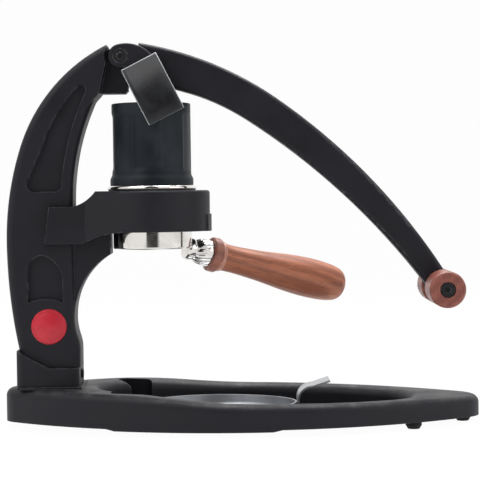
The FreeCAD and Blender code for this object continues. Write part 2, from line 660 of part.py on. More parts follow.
# Worked out from the driving dimensions: heights and places that follow each other
half_length = base_length / 2
pan_bottom = skirt_bottom
pan_top = pan_bottom + pan_thickness
plinth_top = deck_back_top + plinth_height
deck_front_top = deck_top - deck_front_drop
socket_bolt_seat = skirt_bottom + socket_bolt_head_height + 1
half_post = post_thickness / 2
half_arm = arm_thickness / 2
post_back_z = pivot_z - post_back_drop
post_shoulder = arc_end((post_back_x, post_back_z), size(90), post_high_back_radius, post_shoulder_turn)
post_crown = arc_end(post_shoulder, size(90) - post_shoulder_turn, post_crown_radius, post_crown_turn)
post_neck_x = pivot_x - post_neck_back
post_neck_z = pivot_z - post_neck_drop
post_inner_z = pivot_z - post_inner_drop
nose_front_x = pivot_x + nose_out
nose_bottom = pivot_z - nose_drop
nose_top = pivot_z - nose_top_drop
ring_top = ring_bottom + ring_height
shelf_top = ring_bottom - joint_gap
shelf_bottom = shelf_top - shelf_height
arm_bottom = ring_bottom - arm_drop
arm_top = ring_top - arm_step
arm_back_x = post_inner_x - arm_back_reach
arm_back_top_x = arm_back_x + arm_back_lean
ring_bolt_x = post_inner_x - ring_bolt_inset
flange_top = ring_top + flange_height
cylinder_top = flange_top + cylinder_height
group_bottom = ring_bottom + group_rise
group_ceiling = group_bottom + group_depth
lug_bottom = group_bottom + lug_rise
pf_bottom = ring_bottom - pf_drop
pf_shoulder = group_bottom - pf_shoulder_gap
pf_rim_top = group_ceiling - gasket_thickness - pf_rim_gap - seat_gap
basket_floor = pf_bottom + pf_floor_thickness + basket_lift
handle_axis_z = pf_bottom + handle_axis_rise
sleeve_top = cylinder_top + sleeve_over
strap_low_x = brew_axis_x + strap_shift
strap_low_z = sleeve_top - strap_low_drop
piston_bottom = group_ceiling + screen_thickness + piston_lift
piston_top = piston_bottom + piston_height
press_face_z = pivot_z - press_face_drop
stem_cap_top = press_face_z - pad_thickness - joint_gap
stem_cap_bottom = stem_cap_top - stem_cap_height
cheek_sweep = cheek_front_radius - lever_eye_radius
cheek_middle = (pivot_x - cheek_sweep * cosine(cheek_eye_angle),
                pivot_z - cheek_sweep * sine(cheek_eye_angle))
cheek_front_x = cheek_middle[0] + cheek_front_radius * cosine(cheek_front_angle)
cheek_front_z = cheek_middle[1] + cheek_front_radius * sine(cheek_front_angle)
slot_end_x = pivot_x + slot_end_out
lever_root = (pivot_x + lever_root_out, pivot_z + lever_root_up)
lever_low = (pivot_x + lever_low_out, pivot_z - lever_low_drop)
lever_top_mid = arc_end(lever_root, -lever_top_slope, lever_top_radius, lever_top_turn)
lever_top_heading = -lever_top_slope - lever_top_turn
lever_top_end = arc_end(lever_top_mid, lever_top_heading, lever_top_far_radius, lever_top_far_turn)
lever_low_mid = arc_end(lever_low, -lever_low_slope, lever_low_radius, lever_low_turn)
lever_low_heading = -lever_low_slope - lever_low_turn
lever_low_end = arc_end(lever_low_mid, lever_low_heading, lever_low_far_radius, lever_low_far_turn)
lever_low_lead = (press_face_z - lever_low[1]) * cosine(lever_low_slope) / sine(lever_low_slope)
cheek_low_x = lever_low[0] - lever_low_lead
bumper_top = pivot_z - bumper_drop
grip_x = (lever_top_end[0] + lever_low_end[0]) / 2
grip_z = (lever_top_end[1] + lever_low_end[1]) / 2
grip_half = grip_length / 2
grip_inner = lever_bar_thickness / 2


# Base casting: a pointed oval ring with a sloping deck and a lower belly
def make_base_casting():
    body = new_body("base_casting")
    belly = skirt_bottom - belly_drop
    sketch = new_sketch(body, "top", belly)
    oval(sketch, size(0), base_length, base_width, base_back_radius, base_front_radius)
    pad(sketch, deck_back_top - belly)
    # the deck falls a little in front and climbs towards the post
    sketch = new_sketch(body, "side")
    beyond = half_length + 1
    high = deck_back_top + 1
    half_run = (ramp_front_x - ramp_back_x) / 2
    half_climb = (deck_back_top - deck_top) / 2
    swing = (half_run * half_run + half_climb * half_climb) / (2 * half_climb)
    corners = [(ramp_back_x, deck_back_top), (ramp_back_x + half_run, deck_top + half_climb),
               (ramp_front_x, deck_top), (beyond, deck_front_top), (beyond, high), (ramp_back_x, high)]
    outline(sketch, corners, {0: -swing, 1: swing})
    pocket(sketch, base_width, both_ways=True)
    # the rim hangs lower only along the belly
    for end, away in ((belly_back_x, -1), (belly_front_x, 1)):
        sketch = new_sketch(body, "side")
        corners = [(end, belly - 1), (beyond * away, belly - 1), (beyond * away, skirt_bottom),
                   (end + belly_ramp * away, skirt_bottom), (end, belly)]
        outline(sketch, corners)
        pocket(sketch, base_width, both_ways=True)

    def upper_rim(edge):
        box = edge.BoundBox
        return box.ZMin > deck_front_top.value - DECK_SLACK and box.XLength > DECK_SLACK

    round_edges(body, deck_edge_radius, upper_rim)
    sketch = new_sketch(body, "top")
    oval(sketch, well_middle_x, well_length, well_width, well_end_radius, well_end_radius)
    pocket(sketch, high, backwards=True)

    def well_rim(edge):
        faces = body.Tip.Shape.ancestorsOfType(edge, Part.Face)
        reaches_down = any(face.BoundBox.ZMin < skirt_bottom.value + 1 for face in faces)
        high_up = edge.BoundBox.ZMin > deck_front_top.value - DECK_SLACK
        return high_up and edge.BoundBox.XLength > DECK_SLACK and reaches_down

    round_edges(body, well_edge_radius, well_rim)
    # rebate for the floor plate
    sketch = new_sketch(body, "top")
    lip = pan_lip + pan_gap
    oval(sketch, well_middle_x, well_length + 2 * lip, well_width + 2 * lip,
         well_end_radius + lip, well_end_radius + lip)
    pocket(sketch, pan_top, backwards=True)
    # finger recess in the wall of the opening, on both sides
    sketch = new_sketch(body, "top")
    left = recess_middle_x - recess_length / 2
    right = recess_middle_x + recess_length / 2
    low_side = recess_side - recess_width / 2
    high_side = recess_side + recess_width / 2
    rounded_rectangle(sketch, left, low_side, right, high_side, recess_corner_radius)
    sketch.setExpression("AttachmentOffset.Base.z", recess_floor.text)
    recess = pocket(sketch, deck_back_top, backwards=True)
    mirrored(body, recess, "side")
    # raised pad for the socket
    sketch = new_sketch(body, "top", deck_back_top)
    side = socket_thickness / 2 + plinth_margin
    rectangle(sketch, socket_back_x + 1, -side, socket_front_x + plinth_margin, side)
    pad(sketch, plinth_height)
    # screw holes from below: socket bolts with wide wells, feet, floor plate
    holes = [(bolt, socket_bolt_radius + seat_gap, plinth_top + 1) for bolt in socket_bolt_places()]
    wells = [(bolt, socket_bolt_head + pan_gap, socket_bolt_seat) for bolt in socket_bolt_places()]
    feet = [(foot, foot_screw_radius + seat_gap, skirt_bottom + foot_screw_grip) for foot in foot_places()]
    pan = [(spot, pan_screw_radius + seat_gap, pan_top + pan_screw_grip) for spot in pan_screw_places()]
    for group in (holes, wells, feet, pan):
        sketch = new_sketch(body, "top")
        for (x, y), radius, depth in group:
            circle(sketch, x, y, radius)
        pocket(sketch, group[0][2], backwards=True)
    return body


def socket_bolt_places():
    middle_x = (socket_back_x + socket_front_x) / 2
    side = (socket_thickness / 2 + tenon_thickness / 2) / 2
    return [(middle_x, -side), (middle_x, side)]


def foot_places():
    return [(front_foot_x, -front_foot_y), (front_foot_x, front_foot_y), (tip_foot_x, size(0)),
            (back_foot_x, size(0))]


def glued_foot_places():
    return [(side_foot_x, -side_foot_y), (side_foot_x, side_foot_y)]


def pan_screw_places():
    edge = pan_lip / 2
    end = well_length / 2 + edge
    return [(well_middle_x, -(well_width / 2 + edge)), (well_middle_x, well_width / 2 + edge),
            (well_middle_x - end, size(0)), (well_middle_x + end, size(0))]


# A screw along its body's Z: head downwards or upwards by its droop, with a hexagon socket
def make_screw(label, place, shank, length, head, head_height, yaw=0, droop=0):
    body = new_body(label, place, yaw, droop)
    sketch = new_sketch(body, "side")
    corners = [(0, -length), (shank, -length), (shank, 0), (head, 0), (head, head_height), (0, head_height)]
    outline(sketch, corners)
    turned(sketch)
    sketch = new_sketch(body, "top", head_height)
    hexagon(sketch, head * SOCKET_WIDTH_SHARE)
    pocket(sketch, head_height * SOCKET_DEPTH_SHARE)
    return body


# A plain ring or disc, turned from its half section
def make_turned(label, place, corners, bends=None, yaw=0, droop=0):
    body = new_body(label, place, yaw, droop)
    sketch = new_sketch(body, "side")
    outline(sketch, corners, bends)
    turned(sketch)
    return body


def ring_section(inner, outer, low, high):
    return [(inner, low), (outer, low), (outer, high), (inner, high)]


# Floor plate of the base, let into the rebate from below
def make_base_pan():
    body = new_body("base_pan")
    sketch = new_sketch(body, "top", pan_bottom)
    oval(sketch, well_middle_x, well_length + 2 * pan_lip, well_width + 2 * pan_lip,
         well_end_radius + pan_lip, well_end_radius + pan_lip)
    pad(sketch, pan_thickness)
    sketch = new_sketch(body, "top", pan_bottom)
    for x, y in pan_screw_places():
        circle(sketch, x, y, pan_screw_radius + seat_gap)
    pocket(sketch, pan_thickness, backwards=True)
    return body


def make_pan_screws():
    for number, (x, y) in enumerate(pan_screw_places(), start=1):
        body = new_body("pan_screw_%d" % number, (x, y, pan_bottom))
        sketch = new_sketch(body, "side")
        head = pan_screw_head
        rise = pan_thickness + pan_screw_grip - joint_gap
        corners = [(0, -1), (head, -1), (head, 0), (pan_screw_radius, 0), (pan_screw_radius, rise), (0, rise)]
        outline(sketch, corners)
        turned(sketch)


# Rubber feet: four with a sunk screw each, two glued under the floor plate
def make_feet():
    edge = foot_radius - foot_bevel_run
    hole = foot_screw_radius + seat_gap
    well = foot_screw_head + pan_gap
    outside = [(edge, 0), (foot_radius, foot_bevel_rise), (foot_radius, skirt_bottom)]
    bored = [(hole, skirt_bottom), (hole, foot_screw_recess), (well, foot_screw_recess), (well, 0)]
    whole = [(0, skirt_bottom), (0, 0)]
    screwed = [(place, bored) for place in foot_places()]
    glued = [(place, whole) for place in glued_foot_places()]
    for number, ((x, y), inside) in enumerate(screwed + glued, start=1):
        make_turned("foot_%d" % number, (x, y, 0), outside + inside)
    for number, (x, y) in enumerate(foot_places(), start=1):
        body = new_body("foot_screw_%d" % number, (x, y, foot_screw_recess))
        sketch = new_sketch(body, "side")
        rise = skirt_bottom + foot_screw_grip - foot_screw_recess - joint_gap
        low = -foot_screw_recess + 1
        corners = [(0, low), (foot_screw_head, low), (foot_screw_head, 0),
                   (foot_screw_radius, 0), (foot_screw_radius, rise), (0, rise)]
        outline(sketch, corners)
        turned(sketch)


# Drip tray: a shallow sheet-metal dish
def make_drip_tray():
    body = new_body("drip_tray")
    tray_bottom = pan_top + joint_gap
    sketch = new_sketch(body, "top", tray_bottom)
    oval(sketch, tray_middle_x, tray_length, tray_width, tray_end_radius, tray_end_radius)
    pad(sketch, tray_top - tray_bottom)
    round_edges(body, tray_floor_radius, level_at(tray_bottom))
    sketch = new_sketch(body, "top", tray_bottom + tray_wall)
    inner = -2 * tray_wall
    oval(sketch, tray_middle_x, tray_length + inner, tray_width + inner,
         tray_end_radius - tray_wall, tray_end_radius - tray_wall)
    pocket(sketch, tray_top, backwards=True)
    round_edges(body, tray_floor_radius - tray_wall, level_at(tray_bottom + tray_wall))
    return body


# Finger lip: a strip that stands on the tray's front wall and bends outwards
def make_tray_lip():
    body = new_body("tray_lip", (tray_middle_x + tray_length / 2, 0, tray_top))
    sketch = new_sketch(body, "side")
    inner = lip_bend_radius
    outer = inner + lip_thickness
    corners = [(0, -lip_drop), (lip_thickness, -lip_drop), (lip_thickness, lip_rise - outer),
               (lip_thickness + inner, lip_rise - lip_thickness),
               (lip_reach, lip_rise + lip_climb),
               (lip_reach - lip_end_lean, lip_rise + lip_climb + lip_thickness),
               (lip_thickness + inner, lip_rise), (0, lip_rise - outer)]
    outline(sketch, corners, {2: -inner, 6: outer})
    pad(sketch, lip_width, both_ways=True)
    return body


# Post socket: a block on the base that takes the post's tenon
def make_post_socket():
    body = new_body("post_socket")
    sketch = new_sketch(body, "side")
    corners = [(socket_back_x, plinth_top), (socket_front_x, plinth_top), (socket_front_x, socket_front_top),
               (socket_step_x, socket_front_top), (socket_back_x, socket_back_top)]
    outline(sketch, corners)
    pad(sketch, socket_thickness, both_ways=True)

    def upright(edge):
        box = edge.BoundBox
        return box.XLength < 0.1 and box.YLength < 0.1 and box.ZLength > 5

    round_edges(body, socket_edge_radius, upright)
    sketch = new_sketch(body, "top", tenon_bottom - tenon_gap)
    half = tenon_thickness / 2 + tenon_gap
    rectangle(sketch, tenon_back_x - tenon_gap, -half, tenon_front_x + tenon_gap, half)
    pocket(sketch, socket_back_top, backwards=True)
    sketch = new_sketch(body, "top", plinth_top)
    for x, y in socket_bolt_places():
        circle(sketch, x, y, socket_bolt_radius + seat_gap)
    pocket(sketch, socket_bolt_grip, backwards=True)
    sketch = new_sketch(body, "front", tenon_front_x)
    circle(sketch, 0, lock_screw_z, lock_screw_radius + seat_gap)
    pocket(sketch, socket_front_x - tenon_front_x + 1, backwards=True)
    return body


def make_socket_bolts():
    for number, (x, y) in enumerate(socket_bolt_places(), start=1):
        rise = plinth_top + socket_bolt_grip - socket_bolt_seat - joint_gap
        make_screw("socket_bolt_%d" % number, (x, y, socket_bolt_seat), socket_bolt_radius, rise,
                   socket_bolt_head, socket_bolt_head_height, 0, 180)


# Post casting: the thick curved column, its shelf, its thin nose under the pivot, and its tenon
def make_post_casting():
    body = new_body("post_casting")
    sketch = new_sketch(body, "side")
    relief_top, relief_low = [(pivot_x + pivot_relief * cosine(angle), pivot_z + pivot_relief * sine(angle))
                              for angle in (relief_top_angle, relief_low_angle)]
    slope = (socket_back_top - socket_front_top) / (socket_back_x - socket_step_x)
    heel_z = socket_back_top + slope * (post_heel_x - socket_back_x)
    heel_radius = upright_arc(post_heel_x - post_back_x, post_back_z - heel_z)
    inner_radius = upright_arc(post_neck_x - post_inner_x, post_neck_z - post_inner_z)
    foot_run = 1 - cosine(post_foot_turn)
    hollow = (post_inner_x + post_foot_in_radius * foot_run,
              post_waist_z - post_foot_in_radius * sine(post_foot_turn))
    foot = (hollow[0] + post_foot_out_radius * foot_run,
            hollow[1] - post_foot_out_radius * sine(post_foot_turn))
    corners = [(post_heel_x, heel_z), (post_back_x, post_back_z), post_shoulder, post_crown,
               relief_top, relief_low, (post_neck_x + neck_step, nose_bottom), (post_neck_x, post_neck_z),
               (post_inner_x, post_inner_z), (post_inner_x, post_waist_z), hollow, foot,
               (foot[0], socket_front_top), (socket_step_x, socket_front_top)]
    bends = {0: -heel_radius, 1: -post_high_back_radius, 2: -post_crown_radius, 4: pivot_relief,
             7: inner_radius, 9: post_foot_in_radius, 10: -post_foot_out_radius}
    outline(sketch, corners, bends)
    pad(sketch, post_thickness, both_ways=True)

    def long_edges(edge):
        box = edge.BoundBox
        centre = edge.CenterOfMass
        at_side = near(abs(centre.y), half_post) and box.YLength < 0.01
        along_back = centre.x < post_back_x.value + 12 or near(box.XMax, post_crown[0])
        along_front = near(box.XMin, post_inner_x) or near(box.XMax, foot[0])
        return at_side and box.ZLength > 15 and (along_back or along_front)

    round_edges(body, post_edge_radius, long_edges)
    # shelf under the ring, running into the hollow above the foot
    sketch = new_sketch(body, "side")
    shelf_radius = upright_arc(shelf_front_x - post_inner_x, shelf_bottom - post_waist_z)
    inside = post_inner_x - post_edge_radius
    corners = [(inside, shelf_top), (shelf_front_x, shelf_top), (shelf_front_x, shelf_bottom),
               (post_inner_x, post_waist_z), (inside, post_waist_z)]
    outline(sketch, corners, {2: shelf_radius})
    pad(sketch, shelf_thickness, both_ways=True)
    # nose between the lever's cheeks, with a round eye at the pivot
    sketch = new_sketch(body, "side")
    eye_low = (pivot_x + nose_eye_radius * cosine(nose_eye_angle),
               pivot_z + nose_eye_radius * sine(nose_eye_angle))
    eye_top = (pivot_x, pivot_z + nose_eye_radius)
    root = post_neck_x - nose_root_depth
    corners = [(root, nose_bottom), (nose_front_x - nose_bevel, nose_bottom),
               (nose_front_x, nose_bottom + nose_bevel), (nose_front_x, nose_top - nose_slope_rise),
               (nose_front_x - nose_slope_run, nose_top), eye_low, eye_top,
               (root, post_crown[1] - nose_root_drop)]
    outline(sketch, corners, {5: nose_eye_radius})
    pad(sketch, nose_thickness, both_ways=True)
    sketch = new_sketch(body, "side")
    circle(sketch, pivot_x, pivot_z, bush_radius + seat_gap)
    pocket(sketch, post_thickness, both_ways=True)
    # tenon that goes down into the socket
    sketch = new_sketch(body, "top", tenon_bottom)
    half = tenon_thickness / 2
    rectangle(sketch, tenon_back_x, -half, tenon_front_x, half)
    pad(sketch, socket_back_top - tenon_bottom + 2)
    sketch = new_sketch(body, "front", tenon_front_x)
    circle(sketch, 0, lock_screw_z, lock_screw_radius + seat_gap)
    pocket(sketch, lock_screw_length)
    # sunk panels on both sides: a tall one above the arm, a small arched one below it
    for corners, bends in (upper_panel(), lower_panel()):
        for away in (1, -1):
            sketch = new_sketch(body, "side", half_post * away)
            outline(sketch, corners, bends)
            pocket(sketch, panel_depth, backwards=away < 0)
    # badge seat and the holes for the arm's bolts
    sketch = new_sketch(body, "side", half_post)
    circle(sketch, badge_x, badge_z, badge_radius + seat_gap)
    pocket(sketch, badge_recess)
    sketch = new_sketch(body, "side")
    for x, z in ring_bolt_places():
        circle(sketch, x, z, ring_bolt_radius + seat_gap)
    pocket(sketch, post_thickness, both_ways=True)
    return body


# Upper panel: it follows the post's back and its inner edge, with round corners and a round tip
def upper_panel():
    left = post_back_x + panel_back_border
    right = post_inner_x - panel_front_border
    low = post_inner_z + panel_rise
    corner = panel_corner
    tip = (post_neck_x - panel_tip_back, post_neck_z + panel_tip_up)
    corners = [(left + corner, low), (right - corner, low), (right, low + corner), tip,
               (tip[0] - panel_tip_across, tip[1] + panel_tip_across),
               (post_shoulder[0] + panel_back_border, post_shoulder[1] - panel_shoulder_drop),
               (left, low + corner)]
    bends = {1: corner, 2: -panel_front_hollow, 3: panel_tip_radius, 4: post_crown_radius - panel_back_border,
             5: post_high_back_radius - panel_back_border, 6: corner}
    return corners, bends


# Lower panel: a bowed foot, upright sides, and an arch that is steeper towards the back
def lower_panel():
    left = post_back_x + arch_back_border
    right = post_inner_x - arch_front_border
    low = badge_z + badge_radius + arch_foot_gap
    top = (left + arch_top_in, arm_bottom - arch_top_drop)
    corners = [(left, low), (right, low), (right, low + arch_front_rise), top, (left, low + arch_back_rise)]
    return corners, {0: -arch_foot_bow, 2: arch_front_radius, 3: arch_back_radius}


def ring_bolt_places():
    middle = (arm_bottom + arm_top) / 2
    return [(ring_bolt_x, middle - ring_bolt_spacing / 2), (ring_bolt_x, middle + ring_bolt_spacing / 2)]


# Badge: a plain disc let into the near side of the post
def make_badge():
    body = new_body("badge")
    sketch = new_sketch(body, "side", half_post - badge_recess)
    circle(sketch, badge_x, badge_z, badge_radius)
    pad(sketch, badge_thickness)
    return body


# Ring casting: a stepped ring whose arm forks round the post
def make_ring_casting():
    body = new_body("ring_casting", (brew_axis_x, 0, 0))
    # arm: an S curve from the ring's top down to the post
    sketch = new_sketch(body, "side")
    inside = -(ring_bore_radius + ring_overlap)
    start = post_inner_x - brew_axis_x
    corners = [(arm_back_x - brew_axis_x, arm_bottom), (inside, arm_bottom), (inside, ring_top),
               (start + arm_run, ring_top), (start + arm_slope_start, arm_top),
               (arm_back_top_x - brew_axis_x, arm_top)]
    outline(sketch, corners, {3: -arm_slope_bow})
    pad(sketch, arm_thickness, both_ways=True)
    round_edges(body, arm_edge_radius, both(flat_at_side(half_arm), level_at(arm_bottom)))
    sketch = new_sketch(body, "side")
    edge = ring_edge_radius
    corners = [(ring_bore_radius, ring_bottom), (ring_high_radius - edge, ring_bottom),
               (ring_high_radius, ring_bottom + edge), (ring_high_radius, ring_top - edge),
               (ring_high_radius - edge, ring_top), (ring_bore_radius, ring_top)]
    outline(sketch, corners, {1: edge, 3: edge})
    turned(sketch)
    # the arm widens until it meets the ring, and its slopes run on over and under that widening
    sketch = new_sketch(body, "top", arm_bottom)
    outline(sketch, [(start + flare_start, -half_arm), (-flare_end_x, -flare_end_side), (inside, -half_arm),
                     (inside, half_arm), (-flare_end_x, flare_end_side), (start + flare_start, half_arm)])
    pad(sketch, ring_top - arm_bottom)
    sketch = new_sketch(body, "side")
    above = ring_top + 1
    left = arm_back_x - brew_axis_x
    outline(sketch, [(left, arm_top), (start + arm_slope_start, arm_top), (start + arm_run, ring_top),
                     (start + arm_run, above), (left, above)], {1: arm_slope_bow})
    pocket(sketch, 2 * ring_high_radius, both_ways=True)
    sketch = new_sketch(body, "side")
    below = arm_bottom - 1
    outline(sketch, [(start + arm_chin_start, below), (0, below), (0, ring_bottom),
                     (-arm_chin_end_x, ring_bottom), (start + arm_chin_start, arm_bottom)], {3: arm_chin_bow})
    pocket(sketch, 2 * ring_high_radius, both_ways=True)
    # a low boss on the ring's front
    sketch = new_sketch(body, "top", ring_bottom)
    boss_reach = square_root(ring_low_radius * ring_low_radius - ring_boss_half * ring_boss_half)
    outline(sketch, [(-inside, -ring_boss_half), (boss_reach, -ring_boss_half), (boss_reach, ring_boss_half),
                     (-inside, ring_boss_half)], {1: ring_low_radius})
    pad(sketch, ring_step_height)
    # the gap that takes the post and its shelf
    sketch = new_sketch(body, "top")
    half = half_post + arm_fit
    rectangle(sketch, arm_back_x - 1 - brew_axis_x, -half, post_inner_x + 1.6 - brew_axis_x, half)
    pocket(sketch, ring_top + 1, backwards=True)
    sketch = new_sketch(body, "top")
    rectangle(sketch, arm_back_x - 1 - brew_axis_x, -half, shelf_front_x + arm_fit - brew_axis_x, half)
    pocket(sketch, shelf_top + arm_fit, backwards=True)
    # the bolts come in from the far side and end in the near cheek
    for depth, towards_near in ((half_arm + 1, False), (half_arm - arm_skin, True)):
        sketch = new_sketch(body, "side")
        for x, z in ring_bolt_places():
            circle(sketch, x - brew_axis_x, z, ring_bolt_radius + seat_gap)
        pocket(sketch, depth, backwards=towards_near)
    return body


def make_ring_bolts():
    for number, (x, z) in enumerate(ring_bolt_places(), start=1):
        length = arm_thickness - arm_skin - joint_gap
        make_screw("ring_bolt_%d" % number, (x, half_arm, z), ring_bolt_radius, length,
                   ring_bolt_head, ring_bolt_head_height, 90, 90)


# Brew cylinder: group body in the ring, chrome flange on top of it, and the tall tube
def make_brew_cylinder():
    body = new_body("brew_cylinder", (brew_axis_x, 0, 0))
    sketch = new_sketch(body, "side")
    groove = lug_radius + joint_gap
    groove_top = lug_bottom + lug_height + joint_gap
    screen_top = group_ceiling + screen_thickness + joint_gap
    screen_seat = screen_radius + pan_gap
    corners = [(group_bore, group_bottom), (group_radius, group_bottom), (group_radius, ring_top),
               (flange_radius - flange_bead, ring_top), (flange_radius - flange_bead, flange_top),
               (cylinder_radius, flange_top), (cylinder_radius, cylinder_top),
               (cylinder_bore, cylinder_top), (cylinder_bore, screen_top), (screen_seat, screen_top),
               (screen_seat, group_ceiling), (group_bore, group_ceiling),
               (group_bore, groove_top), (groove, groove_top),
               (groove, lug_bottom - joint_gap), (group_bore, lug_bottom - joint_gap)]
    outline(sketch, corners, {3: flange_height / 2 + flange_bead / 8})
    turned(sketch)
    # the lugs enter through three gaps in the lower edge
    sketch = new_sketch(body, "top", group_bottom)
    angle = handle_yaw - lug_turn
    middle = (group_bore + lug_radius) / 2
    half = lug_width / 2 + joint_gap
    out = group_radius - group_bore - lug_gap_wall
    reach = middle + out / 2
    cos_turn = cosine(angle)
    sin_turn = sine(angle)
    near_side = middle - lug_gap_reach
    corners = []
    for along, across in ((near_side, -half), (reach, -half), (reach, half), (near_side, half)):
        corners.append((along * cos_turn - across * sin_turn, along * sin_turn + across * cos_turn))
    outline(sketch, corners)
    gap = pocket(sketch, lug_bottom - group_bottom, backwards=True)
    pattern_round(body, gap, lug_count)
    return body


# Portafilter: a cup with a narrow rim, three bayonet lugs and an outlet in its floor
def make_portafilter_body():
    body = new_body("portafilter_body", (brew_axis_x, 0, 0), handle_yaw)
    sketch = new_sketch(body, "side")
    floor_top = pf_bottom + pf_floor_thickness
    corners = [(pf_outlet_radius, pf_bottom), (pf_radius, pf_bottom), (pf_radius, pf_shoulder),
               (pf_rim_radius, pf_shoulder), (pf_rim_radius, pf_rim_top), (pf_bore, pf_rim_top),
               (pf_bore, floor_top), (pf_outlet_radius, floor_top)]
    outline(sketch, corners)
    turned(sketch)
    round_edges(body, pf_edge_radius, lambda edge: level_at(pf_bottom)(edge)
                and edge.BoundBox.XLength > 2 * pf_radius.value - 1)
    sketch = new_sketch(body, "top", lug_bottom)
    half = lug_width / 2
    start = pf_rim_radius - lug_root
    corner = lug_radius - lug_corner
    outline(sketch, [(start, -half), (corner, -half), (corner, half), (start, half)], {1: lug_radius})
    lug = pad(sketch, lug_height)
    pattern_round(body, lug, lug_count)
    return body


# Chrome neck from the cup's wall to the wooden handle, sloping down
def make_portafilter_neck():
    body = new_body("portafilter_neck", (brew_axis_x, 0, handle_axis_z), handle_yaw, handle_droop)
    sketch = new_sketch(body, "side")
    root = neck_root
    corners = [(root, 0), (neck_end, 0), (neck_end, neck_end_radius), (neck_end - neck_land, neck_end_radius),
               (root + neck_root_length, neck_root_radius), (root + neck_root_radius, neck_root_radius)]
    outline(sketch, corners, {3: -neck_hollow, 5: neck_root_radius})
    turned(sketch, axis="H_Axis")
    # the root hugs the cup's wall and reaches a little way under the cup
    sketch = new_sketch(body, "top")
    rise = handle_axis_rise
    shift = "vector(%s; 0; %s)" % ((rise * sine(handle_droop)).text, (-(rise * cosine(handle_droop))).text)
    turn = "rotation(vector(0; 1; 0); 0 - %s)" % handle_droop.text
    sketch.setExpression("AttachmentOffset", "placement(%s; %s)" % (shift, turn))
    circle(sketch, 0, 0, pf_radius + seat_gap)
    pocket(sketch, pf_radius, backwards=True)
    return body


def handle_place():
    return (brew_axis_x, 0, handle_axis_z)


# Collar of the handle with a thin ring behind it
def make_handle_ferrule():
    body = new_body("handle_ferrule", handle_place(), handle_yaw, handle_droop)
    sketch = new_sketch(body, "side")
    bore = handle_bolt_radius + seat_gap
    start = neck_end
    end = start + ferrule_length
    edge = ferrule_edge
    bead = ferrule_bead_radius - edge
    corners = [(start, bore), (start, ferrule_radius - edge), (start + edge, ferrule_radius),
               (end - edge, ferrule_radius), (end, ferrule_radius - edge), (end, bead),
               (end + ferrule_bead_length, bead), (end + ferrule_bead_length, bore)]
    outline(sketch, corners, {1: -edge, 3: -edge, 5: -ferrule_bead_bow})
    turned(sketch, axis="H_Axis")
    return body


# Turned wooden handle: narrow behind the collar, thick near its rounded end
def make_handle_wood():
    body = new_body("handle_wood", handle_place(), handle_yaw, handle_droop)
    sketch = new_sketch(body, "side")
    bore = handle_bolt_radius + seat_gap
    start = neck_end + ferrule_length + ferrule_bead_length
    tip = handle_end
    corners = [(start, bore), (start, ferrule_bead_radius), (handle_neck_place, handle_neck_radius),
               (handle_rise_place, handle_rise_radius), (handle_swell_place, handle_swell_radius),
               (tip - handle_shoulder_back, handle_shoulder_radius), (tip, 0),
               (start + handle_bolt_reach + 1, 0), (start + handle_bolt_reach + 1, bore)]
    outline(sketch, corners, {1: handle_root_hollow, 2: handle_waist_hollow, 3: -handle_swell_bow,
                              4: -handle_shoulder_bow, 5: -handle_tip_bow})
    turned(sketch, axis="H_Axis")
    return body


def make_handle_rod():
    body = new_body("handle_rod", handle_place(), handle_yaw, handle_droop)
    sketch = new_sketch(body, "side")
    end = neck_end + ferrule_length + ferrule_bead_length + handle_bolt_reach
    outline(sketch, [(neck_end, 0), (end, 0), (end, handle_bolt_radius), (neck_end, handle_bolt_radius)])
    turned(sketch, axis="H_Axis")
    return body


# Filter basket: thin cup whose rolled rim hangs on the portafilter's rim
def make_filter_basket():
    inner = basket_radius - basket_wall
    top = pf_rim_top + basket_wall
    bevel = basket_corner
    corners = [(0, basket_floor), (basket_radius - bevel, basket_floor),
               (basket_radius, basket_floor + bevel), (basket_radius, pf_rim_top),
               (basket_rim_radius, pf_rim_top), (basket_rim_radius, top),
               (inner, top), (inner, basket_floor + bevel),
               (inner - bevel + basket_wall, basket_floor + basket_wall), (0, basket_floor + basket_wall)]
    return make_turned("filter_basket", (brew_axis_x, 0, 0), corners)


def make_group_gasket():
    low = group_ceiling - gasket_thickness
    corners = ring_section(gasket_inner, group_bore - seat_gap, low, group_ceiling)
    return make_turned("group_gasket", (brew_axis_x, 0, 0), corners)


# Dispersion screen: a disc with two rings of fine holes
def make_dispersion_screen():
    body = new_body("dispersion_screen", (brew_axis_x, 0, group_ceiling))
    sketch = new_sketch(body, "top")
    circle(sketch, 0, 0, screen_radius)
    pad(sketch, screen_thickness)
    for share, count in ((0.3, 8), (0.62, 16)):
        sketch = new_sketch(body, "top")
        circle(sketch, screen_radius * share, 0, screen_hole_radius)
        hole = pocket(sketch, screen_thickness, backwards=True)
        pattern_round(body, hole, count)
    return body


# Silicone sleeve round the tube, flared where it sits on the flange
def make_silicone_sleeve():
    flare_top = flange_top + sleeve_flare_height
    corners = [(sleeve_inner, flange_top), (sleeve_flare_radius, flange_top),
               (sleeve_flare_radius, flare_top - sleeve_flare_slope),
               (sleeve_radius, flare_top + sleeve_flare_slope), (sleeve_radius, sleeve_top - sleeve_edge),
               (sleeve_radius - sleeve_edge, sleeve_top), (sleeve_inner, sleeve_top)]
    return make_turned("silicone_sleeve", (brew_axis_x, 0, 0), corners, {4: sleeve_edge})


